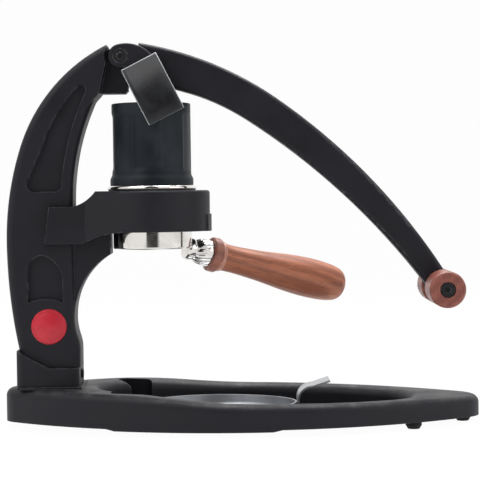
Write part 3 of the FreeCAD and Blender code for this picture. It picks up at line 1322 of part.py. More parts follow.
# Pull strap: a bowed band that stands up from a small pad on the sleeve, leaning to the post
def make_pull_strap():
    body = doc.addObject("PartDesign::Body", "pull_strap")
    body.Label = "pull_strap"
    turn = "rotation(vector(0; 1; 0); 0 - %s)" % strap_lean.text
    place = "vector(%s; 0; %s)" % (strap_low_x.text, strap_low_z.text)
    body.setExpression("Placement", "placement(%s; %s)" % (place, turn))
    sketch = new_sketch(body, "front")
    back_low = -(sleeve_radius + strap_gap)
    back_top = -strap_top_y
    front_low = back_low - strap_thickness
    front_top = back_top - strap_thickness
    corners = [(front_low, 0), (back_low, 0), (back_top, strap_length), (front_top, strap_length)]
    outline(sketch, corners, {1: -strap_bow_radius, 3: strap_bow_radius})
    pad(sketch, strap_width, both_ways=True)
    return body


# Piston with two grooves, its O-rings, the stem and the round button on top
def make_piston():
    body = new_body("piston", (brew_axis_x, 0, 0))
    sketch = new_sketch(body, "side")
    outline(sketch, [(0, piston_bottom), (piston_radius, piston_bottom), (piston_radius, piston_top),
                     (0, piston_top)])
    turned(sketch)
    round_edges(body, piston_edge, lambda edge: (level_at(piston_bottom)(edge) or level_at(piston_top)(edge))
                and edge.BoundBox.XLength > 2 * piston_radius.value - 1)
    for z in piston_ring_heights():
        sketch = new_sketch(body, "side")
        half = piston_ring_section + groove_gap
        depth = piston_ring_middle() - half
        rectangle(sketch, depth, z - half, piston_radius + 1, z + half)
        turned(sketch, "Groove")
    return body


def piston_ring_heights():
    return [piston_bottom + piston_ring_inset, piston_top - piston_ring_inset]


def piston_ring_middle():
    return cylinder_bore - piston_ring_squeeze - piston_ring_section


def make_piston_rings():
    for number, z in enumerate(piston_ring_heights(), start=1):
        body = new_body("piston_ring_%d" % number, (brew_axis_x, 0, z))
        sketch = new_sketch(body, "side")
        circle(sketch, piston_ring_middle(), 0, piston_ring_section)
        turned(sketch)


def make_plunger_stem():
    corners = [(0, piston_top), (stem_radius, piston_top),
               (stem_radius, stem_cap_bottom), (0, stem_cap_bottom)]
    return make_turned("plunger_stem", (brew_axis_x, 0, 0), corners)


def make_stem_cap():
    low = stem_cap_bottom
    corners = [(0, low), (stem_cap_radius - stem_cap_edge, low), (stem_cap_radius, low + stem_cap_edge),
               (stem_cap_radius, stem_cap_top - stem_cap_dome), (0, stem_cap_top)]
    dome_radius = upright_arc(stem_cap_dome, stem_cap_radius)
    return make_turned("stem_cap", (brew_axis_x, 0, 0), corners, {3: dome_radius})


# Lever casting: long curved bar, two cheeks round the nose, and an eye for the grip
def make_lever_casting():
    body = new_body("lever_casting")
    sketch = new_sketch(body, "side")
    corners = [(slot_end_x, press_face_z), (cheek_low_x, press_face_z), lever_low, lever_low_mid,
               lever_low_end, lever_top_end, lever_top_mid, lever_root,
               (lever_root[0], cheek_front_z), (slot_end_x, cheek_front_z)]
    bends = {2: -lever_low_radius, 3: -lever_low_far_radius, 5: lever_top_far_radius, 6: lever_top_radius}
    outline(sketch, corners, bends)
    pad(sketch, lever_bar_thickness, both_ways=True)
    bar_side = lever_bar_thickness / 2

    def bar_edges(edge):
        box = edge.BoundBox
        return near(abs(edge.CenterOfMass.y), bar_side) and box.YLength < 0.01 and box.XLength > 30

    round_edges(body, lever_edge_radius, bar_edges)
    sketch = new_sketch(body, "side")
    circle(sketch, grip_x, grip_z, grip_eye_radius)
    pad(sketch, lever_bar_thickness, both_ways=True)
    # cheeks, thicker than the bar
    sketch = new_sketch(body, "side")
    eye = []
    for angle in (cheek_eye_angle, cheek_rear_angle, cheek_low_angle):
        eye.append((pivot_x + lever_eye_radius * cosine(angle), pivot_z + lever_eye_radius * sine(angle)))
    corners = eye + [(slot_end_x, press_face_z), (cheek_low_x, press_face_z), (cheek_front_x, cheek_front_z)]
    outline(sketch, corners, {0: lever_eye_radius, 1: lever_eye_radius, 5: cheek_front_radius})
    pad(sketch, post_thickness, both_ways=True)
    round_edges(body, cheek_edge_radius, cheek_edges)
    # slot for the nose
    sketch = new_sketch(body, "side")
    rectangle(sketch, pivot_x - 2 * lever_eye_radius, press_face_z - 1, slot_end_x, lever_root[1] + slot_over)
    pocket(sketch, slot_thickness, both_ways=True)
    # bores for the pivot bolt, with a well for the heads, and for the grip rod
    for x, z, radius in ((pivot_x, pivot_z, bolt_radius), (grip_x, grip_z, grip_rod_radius)):
        sketch = new_sketch(body, "side")
        circle(sketch, x, z, radius + seat_gap)
        pocket(sketch, post_thickness, both_ways=True)
    for away in (1, -1):
        sketch = new_sketch(body, "side", half_post * away)
        circle(sketch, pivot_x, pivot_z, bolt_head_radius + seat_gap)
        pocket(sketch, bolt_head_height, backwards=away < 0)
    return body


def cheek_edges(edge):
    box = edge.BoundBox
    return near(abs(edge.CenterOfMass.y), half_post) and box.YLength < 0.01


# Pivot bolt: shank through cheeks and nose, a head on each side
def make_pivot_bolt():
    place = (pivot_x, bolt_head_height - half_post, pivot_z)
    length = post_thickness - 2 * bolt_head_height - joint_gap
    return make_screw("pivot_bolt", place, bolt_radius, length, bolt_head_radius, bolt_head_height, -90, 90)


def make_pivot_nut():
    place = (pivot_x, half_post - bolt_head_height, pivot_z)
    return make_screw("pivot_nut", place, nut_spigot_radius, joint_gap,
                      bolt_head_radius, bolt_head_height, 90, 90)


def make_pivot_bush():
    body = new_body("pivot_bush")
    sketch = new_sketch(body, "side")
    circle(sketch, pivot_x, pivot_z, bush_radius)
    circle(sketch, pivot_x, pivot_z, bolt_radius + bolt_fit)
    pad(sketch, nose_thickness, both_ways=True)
    return body


# Press pad under the lever, over the plunger's button
def make_press_pad():
    body = new_body("press_pad")
    sketch = new_sketch(body, "side")
    left = brew_axis_x - pad_length / 2
    right = brew_axis_x + pad_length / 2
    low = press_face_z - pad_thickness
    outline(sketch, [(left + pad_edge, low), (right - pad_edge, low),
                     (right, press_face_z), (left, press_face_z)])
    pad(sketch, lever_bar_thickness - 2 * pad_inset, both_ways=True)
    return body


# Rubber stop on the nose's end, where the lever comes to rest
def make_stop_bumper():
    body = new_body("stop_bumper")
    sketch = new_sketch(body, "side")
    left = nose_front_x
    right = slot_end_x - joint_gap
    low = bumper_top - bumper_height
    edge = bumper_edge
    outline(sketch, [(left, low), (right - edge, low), (right, low + edge), (right, bumper_top - edge),
                     (right - edge, bumper_top), (left, bumper_top)])
    pad(sketch, bumper_width, both_ways=True)
    return body


# Cross grip: two wooden halves on a steel rod, screwed on from both ends
def make_grip():
    for label, away in (("grip_near", -1), ("grip_far", 1)):
        body = new_body(label, (grip_x, 0, grip_z), 90 * away, 90)
        sketch = new_sketch(body, "side")
        bore = grip_rod_radius + seat_gap
        well = grip_half - grip_well_depth
        edge = grip_radius - grip_edge_radius
        corners = [(bore, grip_inner), (grip_radius - grip_inner_edge, grip_inner),
                   (grip_radius, grip_inner + grip_inner_edge),
                   (grip_radius, grip_half - grip_edge_radius), (edge, grip_half),
                   (grip_well_radius, grip_half), (grip_well_radius, well), (bore, well)]
        outline(sketch, corners, {3: grip_edge_radius})
        turned(sketch)


def make_grip_rod():
    body = new_body("grip_rod")
    half = grip_half - grip_well_depth
    sketch = new_sketch(body, "side")
    circle(sketch, grip_x, grip_z, grip_rod_radius)
    pad(sketch, 2 * half, both_ways=True)
    for away in (1, -1):
        sketch = new_sketch(body, "side", half * away)
        circle(sketch, grip_x, grip_z, grip_screw_radius + seat_gap)
        pocket(sketch, grip_screw_grip, backwards=away < 0)
    return body


def make_grip_screws():
    half = grip_half - grip_well_depth
    for label, away in (("grip_screw_near", -1), ("grip_screw_far", 1)):
        make_screw(label, (grip_x, half * away, grip_z), grip_screw_radius, grip_screw_grip - joint_gap,
                   grip_screw_head, grip_screw_height, 90 * away, 90)


def make_lock_screw():
    make_screw("lock_screw", (socket_front_x, 0, lock_screw_z), lock_screw_radius, lock_screw_length,
               lock_screw_head, lock_screw_head_height, 0, 90)


MAKERS = [
    make_base_casting, make_base_pan, make_pan_screws, make_feet, make_drip_tray, make_tray_lip,
    make_post_socket, make_socket_bolts, make_post_casting, make_lock_screw, make_badge,
    make_ring_casting, make_ring_bolts, make_brew_cylinder, make_group_gasket, make_dispersion_screen,
    make_silicone_sleeve, make_pull_strap, make_portafilter_body, make_portafilter_neck,
    make_handle_ferrule, make_handle_wood, make_handle_rod, make_filter_basket, make_piston,
    make_piston_rings, make_plunger_stem, make_stem_cap, make_lever_casting, make_pivot_bolt,
    make_pivot_nut, make_pivot_bush, make_press_pad, make_stop_bumper, make_grip, make_grip_rod,
    make_grip_screws,
]
for maker in MAKERS:
    maker()
doc.recompute()

# Nothing is written unless every feature is sound and every cut takes something away
faults = []
bodies = [item for item in doc.Objects if item.TypeId == "PartDesign::Body"]
for item in doc.Objects:
    if "Invalid" in item.State or "Error" in item.State:
        faults.append("%s is %s" % (item.Name, item.State))
for body in bodies:
    if body.Shape.isNull() or not body.Shape.isValid():
        faults.append("%s has no sound shape" % body.Label)
    elif len(body.Shape.Solids) != 1:
        faults.append("%s has %d solids" % (body.Label, len(body.Shape.Solids)))
    volume = None
    for feature in body.Group:
        if feature.TypeId.startswith("Sketcher") or feature.Shape.isNull():
            continue
        cuts = feature.TypeId in ("PartDesign::Pocket", "PartDesign::Groove")
        if cuts and volume is not None and feature.Shape.Volume > volume - 0.001:
            faults.append("%s of %s cuts nothing" % (feature.Name, body.Label))
        volume = feature.Shape.Volume
if faults:
    raise RuntimeError("\n".join(faults))
for body in bodies:
    body.Shape.exportStep("parts/" + body.Label + ".step")
print("%d pieces" % len(bodies))
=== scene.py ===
import math

import bmesh
import bpy
import numpy as np
from mathutils import Matrix, Vector


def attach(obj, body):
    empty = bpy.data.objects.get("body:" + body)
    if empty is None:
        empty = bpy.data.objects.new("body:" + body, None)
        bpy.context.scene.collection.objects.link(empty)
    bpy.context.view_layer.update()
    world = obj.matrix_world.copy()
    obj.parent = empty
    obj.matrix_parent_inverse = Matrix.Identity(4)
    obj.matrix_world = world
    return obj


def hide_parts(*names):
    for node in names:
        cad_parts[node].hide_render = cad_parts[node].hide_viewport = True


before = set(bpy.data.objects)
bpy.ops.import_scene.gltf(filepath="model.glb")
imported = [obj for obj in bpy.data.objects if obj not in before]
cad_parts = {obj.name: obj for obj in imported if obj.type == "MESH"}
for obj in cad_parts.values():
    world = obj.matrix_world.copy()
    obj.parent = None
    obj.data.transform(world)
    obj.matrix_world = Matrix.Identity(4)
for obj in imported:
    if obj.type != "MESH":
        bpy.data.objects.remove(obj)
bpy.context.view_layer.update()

MM = 0.001
TURN = 2 * math.pi

# Shared places: the brewing axis, the handle's slope and turn, and the strap's lower end and lean
BREW_AXIS = -61.3 * MM
HANDLE_YAW = math.radians(24.5)
HANDLE_DROOP = math.radians(14.0)
HANDLE_HEIGHT = 129.0 * MM
STRAP_LEAN = math.radians(-26.7)
STRAP_AT = (-49.0 * MM, 0.0, 213.5 * MM)
STRAP_WIDTH = 27.0 * MM
STRAP_LENGTH = 43.0 * MM

# Along the handle, in millimetres from the brewing axis: the joints of its pieces, and its bore
COLLAR_START, RING_START, WOOD_START = 44.0, 51.0, 54
BORE_END, BORE = 111.6, 3.1


# Shapes: every piece is a grid of points P(u, v), worked out as whole arrays

def flowing(points, steps):
    """Smooth run through the points; each span is a cubic that takes its slopes from the neighbours.

    q(t) = ((2 - t)t - 1)t a/2 + ((3t - 5)t t + 2) b/2 + ((4 - 3t)t + 1)t c/2 + (t - 1)t t d/2
    """
    line = np.asarray(points, float)
    line = np.vstack([2 * line[0] - line[1], line, 2 * line[-1] - line[-2]])
    t = np.linspace(0, 1, steps, endpoint=False)[None, :, None]
    a, b, c, d = (line[k:len(line) - 3 + k, None, :] for k in range(4))
    spans = (((2 - t) * t - 1) * t * a + ((3 * t - 5) * t * t + 2) * b
             + ((4 - 3 * t) * t + 1) * t * c + (t - 1) * t * t * d) / 2
    return np.vstack([spans.reshape(-1, line.shape[1]), line[-2]])


def rounded_run(corners, radius, steps):
    """Closed outline with each corner rounded: q(t) = (1 - t)^2 p + 2t(1 - t) corner + t^2 n.

    p and n lie on the two sides, one radius away from the corner, or half a side if that is less.
    """
    corner = np.asarray(corners, float)
    before = np.roll(corner, 1, axis=0) - corner
    after = np.roll(corner, -1, axis=0) - corner
    lengths = [np.linalg.norm(side, axis=1, keepdims=True) for side in (before, after)]
    p = corner + before * np.minimum(radius / lengths[0], 0.5)
    n = corner + after * np.minimum(radius / lengths[1], 0.5)
    t = np.linspace(0, 1, steps)[None, :, None]
    bends = (1 - t) ** 2 * p[:, None] + 2 * t * (1 - t) * corner[:, None] + t ** 2 * n[:, None]
    return bends.reshape(-1, 2)


def piece_of_grid(name, grid, loop_u=False, loop_v=False):
    """Object whose faces join grid[i, j] to its neighbours.

    loop_u and loop_v join the last row or column to the first. Doubled points are merged and faces point
    outwards.
    """
    rows, columns = grid.shape[:2]
    index = np.arange(rows * columns).reshape(rows, columns)
    if loop_u:
        index = np.vstack([index, index[:1]])
    if loop_v:
        index = np.hstack([index, index[:, :1]])
    quads = np.stack([index[:-1, :-1], index[1:, :-1], index[1:, 1:], index[:-1, 1:]], axis=-1).reshape(-1, 4)
    mesh = bpy.data.meshes.new(name)
    mesh.from_pydata(grid.reshape(-1, 3), [], quads)
    work = bmesh.new()
    work.from_mesh(mesh)
    bmesh.ops.remove_doubles(work, verts=work.verts, dist=1e-6)
    bmesh.ops.recalc_face_normals(work, faces=work.faces)
    work.to_mesh(mesh)
    work.free()
    mesh.polygons.foreach_set("use_smooth", np.ones(len(mesh.polygons), bool))
    mesh.set_sharp_from_angle(angle=math.radians(38))
    piece = bpy.data.objects.new(name, mesh)
    bpy.context.scene.collection.objects.link(piece)
    return piece


def turned_grid(profile, count, place, relief=None):
    """P(s, a) = place (x(s), (r(s) + relief(s, a)) cos a, (r(s) + relief(s, a)) sin a).

    profile holds x along the axis and the radius r; place is a 4x4 matrix from the piece's own frame.
    """
    angle = np.linspace(0, TURN, count, endpoint=False)
    along = np.repeat(profile[:, :1], count, axis=1)
    radius = np.repeat(profile[:, 1:2], count, axis=1)
    if relief is not None:
        radius = radius + relief(along, radius, angle[None, :])
    points = np.stack([along, radius * np.cos(angle), radius * np.sin(angle)], axis=-1)
    turn = np.array(place)
    return points @ turn[:3, :3].T + turn[:3, 3]


def window(value, low, high, soft):
    """1 between low and high, falling smoothly to 0 over the soft length at both ends."""
    rise = np.clip((value - low) / soft, 0, 1)
    fall = np.clip((high - value) / soft, 0, 1)
    return (3 - 2 * rise) * rise ** 2 * (3 - 2 * fall) * fall ** 2


def on_handle():
    """Frame of the handle: origin on the brewing axis, +X out along the handle, turned and sloping down."""
    turn = Matrix.Rotation(HANDLE_YAW, 4, "Z") @ Matrix.Rotation(HANDLE_DROOP, 4, "Y")
    return Matrix.Translation((BREW_AXIS, 0, HANDLE_HEIGHT)) @ turn


def upright():
    """Frame of a piece turned about the brewing axis: its own +X points up."""
    return Matrix.Translation((BREW_AXIS, 0, 0)) @ Matrix.Rotation(math.radians(-90), 4, "Y")


def even_run(outline, spacing):
    """The closed outline again, as points at equal steps of its length."""
    loop = np.vstack([outline, outline[:1]])
    length = np.concatenate([[0], np.cumsum(np.linalg.norm(np.diff(loop, axis=0), axis=1))])
    steps = np.linspace(0, length[-1], int(length[-1] / spacing), endpoint=False)
    return np.stack([np.interp(steps, length, loop[:, k]) for k in range(2)], axis=-1)


def make_sleeve():
    """Silicone sleeve: closed wall section turned about the brewing axis, with upright ribs outside.

    relief(z, r, a) = -rib_depth outside(r) window(z) (1 - max(0, cos(ribs a + rib_start))^6)
    """
    low, high = 167.0 * MM, 224.0 * MM
    inner, outer, foot = 23.8 * MM, 27.5 * MM, 29.0 * MM
    foot_top, wall_start = low + 4.6 * MM, low + 7.6 * MM
    ribs, rib_start, rib_depth = 9, 0.9, 0.75 * MM
    wall = [(low, inner), (low, foot), (foot_top, foot), (wall_start, outer), (high, outer), (high, inner)]
    section = even_run(rounded_run(wall, 0.9 * MM, 6), 0.5 * MM)

    def rib_relief(height, radius, angle):
        outside = np.clip((radius - 26.5 * MM) / (0.8 * MM), 0, 1)
        rib = np.maximum(0, np.cos(ribs * angle + rib_start)) ** 6
        return -rib_depth * outside * window(height, low + 9 * MM, high - 6 * MM, 4 * MM) * (1 - rib)

    grid = turned_grid(section, 240, upright(), rib_relief)
    sleeve = piece_of_grid("sleeve_skin", grid, loop_u=True, loop_v=True)
    finish_piece(sleeve, silicone, "stand", "silicone_sleeve")


def make_strap():
    """Pull strap: a rounded band section carried up a circular bow, P = line(s) + x across + y normal(s).

    line(s) bows towards the near side; the section closes over its own half thickness at both ends
    """
    half, bow = 1.2 * MM, 60.0 * MM
    low_side, high_side = -28.1 * MM, -18.6 * MM
    bead, bead_from, bead_run = 0.35 * MM, 2.2 * MM, 1.2 * MM
    end_draw_in = 0.03
    t = np.concatenate([[0, 0.003, 0.01, 0.018], np.linspace(0.03, 0.97, 60), [0.982, 0.99, 0.997, 1]])
    rise, run = STRAP_LENGTH, high_side - low_side
    chord = math.hypot(rise, run)
    turn = 2 * math.asin(chord / 2 / bow)
    angle = (t - 0.5) * turn
    along = bow * np.sin(angle)
    out = bow * (np.cos(angle) - math.cos(turn / 2))
    up = np.array([run, rise]) / chord
    outward = np.array([-rise, run]) / chord
    middle = np.array([(low_side + high_side) / 2, STRAP_LENGTH / 2])
    line = middle + along[:, None] * up + (out[:, None] + half) * outward
    tangent = np.cos(angle)[:, None] * up - np.sin(angle)[:, None] * outward
    normal = np.stack([-tangent[:, 1], tangent[:, 0]], axis=-1)
    side = STRAP_WIDTH / 2
    corners = [(-side, -half), (side, -half), (side, half), (-side, half)]
    section = even_run(rounded_run(corners, 0.8 * MM, 7), 0.45 * MM)
    edge_bead = bead * np.clip((np.abs(section[:, 0]) - side + bead_from) / bead_run, 0, 1) - bead
    distance = np.minimum(t, 1 - t) * chord
    thin = np.sqrt(1 - (1 - np.clip(distance / half, 0, 1)) ** 2)
    lift = np.sign(section[:, 1]) * edge_bead + section[:, 1]
    across = np.tile(section[:, 0], (len(t), 1)) * (1 - end_draw_in * (1 - thin[:, None]))
    offset = thin[:, None] * lift[None, :]
    yz = line[:, None, :] + offset[:, :, None] * normal[:, None, :]
    grid = np.stack([across, yz[:, :, 0], yz[:, :, 1]], axis=-1)
    lean = np.array(Matrix.Rotation(STRAP_LEAN, 3, "Y"))
    grid = grid @ lean.T + np.array(STRAP_AT)
    strap = piece_of_grid("strap_band", grid, loop_v=True)
    finish_piece(strap, strap_rubber, "stand", "pull_strap")


def make_handle():
    """Turned handle: the smooth run through the measured radii, closed over its tip and along its bore."""
    outside = [(WOOD_START, 9.9), (56, 9.7), (60, 9.6), (65, 9.7), (72, 10.05), (84.6, 10.95), (94, 11.95),
               (103, 12.95), (112, 13.7), (121, 14.15), (129, 14.15), (136.5, 13.75), (143, 12.9),
               (148, 11.4), (151.1, 8.8), (152.6, 5.2), (153.1, 0)]
    run = flowing(outside, 8) * MM
    bore = np.array([(BORE_END, 0), (BORE_END, BORE), (WOOD_START, BORE)]) * MM
    profile = np.vstack([bore, run])
    handle = piece_of_grid("handle_turning", turned_grid(profile, 96, on_handle()), loop_v=True)
    finish_piece(handle, handle_wood, "portafilter", "handle_wood")


def make_collar():
    """Collar and pale ring of the handle: rounded closed sections turned about the handle's axis."""
    collar = [(COLLAR_START, BORE), (COLLAR_START, 11.3), (44.8, 12.2), (49.4, 12.3), (RING_START, 11.1),
              (RING_START, BORE)]
    ring = [(RING_START, BORE), (RING_START, 10.5), (52.5, 10.8), (WOOD_START, 10.3), (WOOD_START, BORE)]
    sections = {"handle_collar": (collar, collar_wood), "handle_ring": (ring, ring_inlay)}
    for name, (corners, material) in sections.items():
        section = rounded_run(np.array(corners) * MM, 0.35 * MM, 4)
        piece = piece_of_grid(name, turned_grid(section, 96, on_handle()), loop_u=True, loop_v=True)
        finish_piece(piece, material, "portafilter", "handle_ferrule")


def make_neck():
    """Chrome neck: a ball at the cup, a shallow groove, then a flared body with twisted flutes.

    relief(x, r, a) = -depth window(x) |sin(count a + twist x)|^6
    """
    outside = [(25.6, 7.3), (27.5, 7.9), (29.5, 7.8), (31.2, 7.5), (32.4, 7.8), (34.8, 8.7), (38, 9.4),
               (41.5, 9.65), (43.3, 9.5), (43.95, 9.1)]
    run = flowing(outside, 7) * MM
    profile = np.vstack([[run[0, 0], 0], run, [run[-1, 0], 0]])
    count, twist, depth = 6, 260, 0.45 * MM

    def flutes(along, radius, angle):
        wave = np.abs(np.sin(count * angle + twist * along)) ** 6
        return -depth * window(along, 31.5 * MM, 43.6 * MM, 2 * MM) * wave

    neck = piece_of_grid("fluted_neck", turned_grid(profile, 144, on_handle(), flutes), loop_v=True)
    finish_piece(neck, neck_steel, "portafilter", "portafilter_neck")


def make_badge():
    """Bare enamel badge: a flat disc with a rolled rim and one shallow ring; P(s, a) turned about -Y."""
    seat = Matrix.Translation((-133.0 * MM, -15.2 * MM, 70.5 * MM))
    facing = seat @ Matrix.Rotation(math.radians(-90), 4, "Z")
    profile = np.array([(0, 0), (0, 12.2), (1.1, 12.2), (1.45, 11.95), (1.6, 11.5), (1.6, 11.0), (1.35, 10.8),
                        (1.35, 10.2), (1.5, 10.0), (1.5, 0)]) * MM
    badge = piece_of_grid("badge_disc", turned_grid(profile, 128, facing), loop_v=True)
    finish_piece(badge, enamel, "stand", "badge")


# Node trees

def add(tree, kind, sockets=(), **settings):
    """A node with its settings, and the values of its input sockets by name or number."""
    node = tree.nodes.new("ShaderNode" + kind)
    for key, value in settings.items():
        setattr(node, key, value)
    for key, value in dict(sockets).items():
        node.inputs[key].default_value = value
    return node


def join(tree, *pairs):
    """Links each (output, input) pair."""
    for source, target in pairs:
        tree.links.new(source, target)


def sums(tree, operation, first, second, clamp=False):
    """Output of a math node over two outputs or numbers."""
    node = add(tree, "Math", operation=operation, use_clamp=clamp)
    for socket, value in zip(node.inputs, (first, second)):
        if isinstance(value, (int, float)):
            socket.default_value = value
        else:
            tree.links.new(value, socket)
    return node.outputs[0]


# Where a noise cloud starts and ends: most of its values lie between these
CLOUD = (0.3, 0.7)


def ramp(tree, source, low, high, start=0.0, end=1.0):
    """Output that runs from start to end while the source runs smoothly from low to high."""
    node = add(tree, "MapRange", {"From Min": low, "From Max": high, "To Min": start, "To Max": end},
               interpolation_type="SMOOTHSTEP")
    tree.links.new(source, node.inputs["Value"])
    return node.outputs[0]


def mixed(tree, share, first, second):
    """Colour mix from first to second by share; each may be a colour or an output."""
    node = add(tree, "Mix", data_type="RGBA")
    for socket, value in ((node.inputs[0], share), (node.inputs[6], first), (node.inputs[7], second)):
        if isinstance(value, bpy.types.NodeSocket):
            tree.links.new(value, socket)
        else:
            socket.default_value = value
    return node.outputs[2]


def drawn_out(tree, vector, shares):
    """The vector with each part times its share; a texture is drawn out along a part with a small share."""
    node = add(tree, "VectorMath", {1: shares}, operation="MULTIPLY")
    join(tree, (vector, node.inputs[0]))
    return node.outputs[0]


def tone(red, green, blue):
    """Colour for a shader from 0 to 255 display numbers."""
    level = np.array([red, green, blue]) / 255
    linear = np.where(level <= 0.04045, level / 12.92, ((level + 0.055) / 1.055) ** 2.4)
    return (*linear.tolist(), 1.0)


def new_group(name, inputs, outputs):
    """Empty group with named sockets; gives its tree, its input node and its output node."""
    tree = bpy.data.node_groups.new(name, "ShaderNodeTree")
    kinds = {"float": "NodeSocketFloat", "vector": "NodeSocketVector", "colour": "NodeSocketColor"}
    for socket_name, kind, value in inputs:
        socket = tree.interface.new_socket(name=socket_name, in_out="INPUT", socket_type=kinds[kind])
        if value is not None:
            socket.default_value = value
    for socket_name, kind in outputs:
        tree.interface.new_socket(name=socket_name, in_out="OUTPUT", socket_type=kinds[kind])
    return tree, tree.nodes.new("NodeGroupInput"), tree.nodes.new("NodeGroupOutput")


def make_grit_group():
    """Orange peel and fine grit: rounded cells under finer waves, and a broad cloud for colour and gloss."""
    tree, source, result = new_group(
        "coat_grit", [("Vector", "vector", None), ("Scale", "float", 900.0), ("Waves", "float", 0.4)],
        [("Height", "float"), ("Cloud", "float")])
    cells = add(tree, "TexVoronoi", feature="SMOOTH_F1")
    fine = add(tree, "TexNoise", {"Detail": 3.0, "Roughness": 0.6})
    cloud = add(tree, "TexNoise", {"Scale": 38.0, "Detail": 4.0, "Roughness": 0.55})
    vector, scale = source.outputs["Vector"], source.outputs["Scale"]
    half_scale = sums(tree, "MULTIPLY", scale, 0.5)
    join(tree, (vector, cells.inputs["Vector"]), (scale, cells.inputs["Scale"]),
         (vector, fine.inputs["Vector"]), (half_scale, fine.inputs["Scale"]),
         (vector, cloud.inputs["Vector"]))
    waves = sums(tree, "MULTIPLY", fine.outputs["Fac"], source.outputs["Waves"])
    height = sums(tree, "SUBTRACT", waves, sums(tree, "MULTIPLY", cells.outputs["Distance"], 0.6))
    join(tree, (height, result.inputs["Height"]), (cloud.outputs["Fac"], result.inputs["Cloud"]))
    return tree


def make_edge_group():
    """Soft edges: a normal that rounds each edge over the radius, and a mask that is 1 where it does."""
    tree, source, result = new_group("rounded_edge", [("Radius", "float", 0.7 * MM), ("Vector", "vector", None)],
                                     [("Mask", "float"), ("Normal", "vector")])
    rounded = add(tree, "Bevel", samples=4)
    flat = add(tree, "NewGeometry")
    between = add(tree, "VectorMath", operation="DOT_PRODUCT")
    speckle = add(tree, "TexNoise", {"Scale": 260.0, "Detail": 3.0, "Roughness": 0.7})
    join(tree, (source.outputs["Radius"], rounded.inputs["Radius"]), (rounded.outputs[0], between.inputs[0]),
         (flat.outputs["True Normal"], between.inputs[1]),
         (source.outputs["Vector"], speckle.inputs["Vector"]))
    turned_away = sums(tree, "SUBTRACT", 1.0, between.outputs["Value"], clamp=True)
    broken = ramp(tree, speckle.outputs["Fac"], 0.35, 0.65)
    mask = sums(tree, "MULTIPLY", ramp(tree, turned_away, 0.02, 0.25), broken)
    join(tree, (mask, result.inputs["Mask"]), (rounded.outputs[0], result.inputs["Normal"]))
    return tree


def make_dust_group():
    """Fine dust on faces that look up: the upward part of the normal, times broken noise."""
    tree, source, result = new_group("settled_dust", [("Vector", "vector", None), ("Amount", "float", 0.3)],
                                     [("Mask", "float")])
    face = add(tree, "NewGeometry")
    part = add(tree, "SeparateXYZ")
    patch = add(tree, "TexNoise", {"Scale": 60.0, "Detail": 8.0, "Roughness": 0.75})
    join(tree, (face.outputs["Normal"], part.inputs[0]), (source.outputs["Vector"], patch.inputs["Vector"]))
    upward = ramp(tree, part.outputs["Z"], 0.3, 1.0)
    broken = ramp(tree, patch.outputs["Fac"], 0.42, 0.75)
    mask = sums(tree, "MULTIPLY", sums(tree, "MULTIPLY", upward, broken), source.outputs["Amount"])
    join(tree, (mask, result.inputs["Mask"]))
    return tree


def make_lathe_group():
    """Fine tool lines round the X axis, and the broad smudges of wiping."""
    tree, source, result = new_group("tool_lines", [("Vector", "vector", None), ("Lines", "float", 1500.0)],
                                     [("Height", "float"), ("Smudge", "float")])
    lines = add(tree, "TexNoise", {"Detail": 2.0, "Roughness": 0.8})
    smudge = add(tree, "TexNoise", {"Scale": 45.0, "Detail": 5.0, "Roughness": 0.6, "Distortion": 0.8})
    vector = source.outputs["Vector"]
    join(tree, (drawn_out(tree, vector, (1.0, 0.02, 0.02)), lines.inputs["Vector"]),
         (source.outputs["Lines"], lines.inputs["Scale"]), (vector, smudge.inputs["Vector"]),
         (lines.outputs["Fac"], result.inputs["Height"]), (smudge.outputs["Fac"], result.inputs["Smudge"]))
    return tree


def make_grain_group():
    """Wood along X: wandering growth rings, veins, fibre streaks and short dark pores.

    streak = ring_share rings + drift_share drift + vein_share veins, each drawn out along X by its own share
    """
    tree, source, result = new_group(
        "wood_grain", [("Vector", "vector", None), ("Light", "colour", None), ("Dark", "colour", None)],
        [("Colour", "colour"), ("Height", "float"), ("Streak", "float")])
    drift = add(tree, "TexNoise", {"Scale": 70.0, "Detail": 3.0, "Roughness": 0.5})
    rings = add(tree, "TexWave", {"Scale": 62.0, "Distortion": 3.0, "Detail": 3.0, "Detail Scale": 1.4},
                wave_type="BANDS", bands_direction="DIAGONAL")
    veins = add(tree, "TexNoise", {"Scale": 520.0, "Detail": 3.0, "Roughness": 0.6, "Distortion": 0.6})
    fibre = add(tree, "TexNoise", {"Scale": 1300.0, "Detail": 4.0, "Roughness": 0.7})
    pores = add(tree, "TexNoise", {"Scale": 1900.0, "Detail": 1.0, "Roughness": 0.4})
    for texture, share in ((drift, 0.12), (rings, 0.12), (veins, 0.045), (fibre, 0.035), (pores, 0.07)):
        join(tree, (drawn_out(tree, source.outputs["Vector"], (share, 1.0, 1.0)), texture.inputs["Vector"]))
    ring_share, drift_share, vein_share, pore_share = 0.22, 0.5, 0.6, 0.5
    broad = sums(tree, "ADD", sums(tree, "MULTIPLY", rings.outputs["Fac"], ring_share),
                 sums(tree, "MULTIPLY", drift.outputs["Fac"], drift_share))
    streak = sums(tree, "ADD", broad, sums(tree, "MULTIPLY", veins.outputs["Fac"], vein_share))
    body = mixed(tree, ramp(tree, streak, 0.35, 0.95), source.outputs["Light"], source.outputs["Dark"])
    fine = mixed(tree, ramp(tree, fibre.outputs["Fac"], 0.4, 0.75, 0.0, 0.45), body, source.outputs["Dark"])
    pore = ramp(tree, pores.outputs["Fac"], 0.62, 0.72)
    colour = mixed(tree, sums(tree, "MULTIPLY", pore, pore_share), fine, tone(74, 38, 28))
    height = sums(tree, "SUBTRACT", sums(tree, "MULTIPLY", fibre.outputs["Fac"], 0.5), pore)
    join(tree, (colour, result.inputs["Colour"]), (height, result.inputs["Height"]),
         (streak, result.inputs["Streak"]))
    return tree


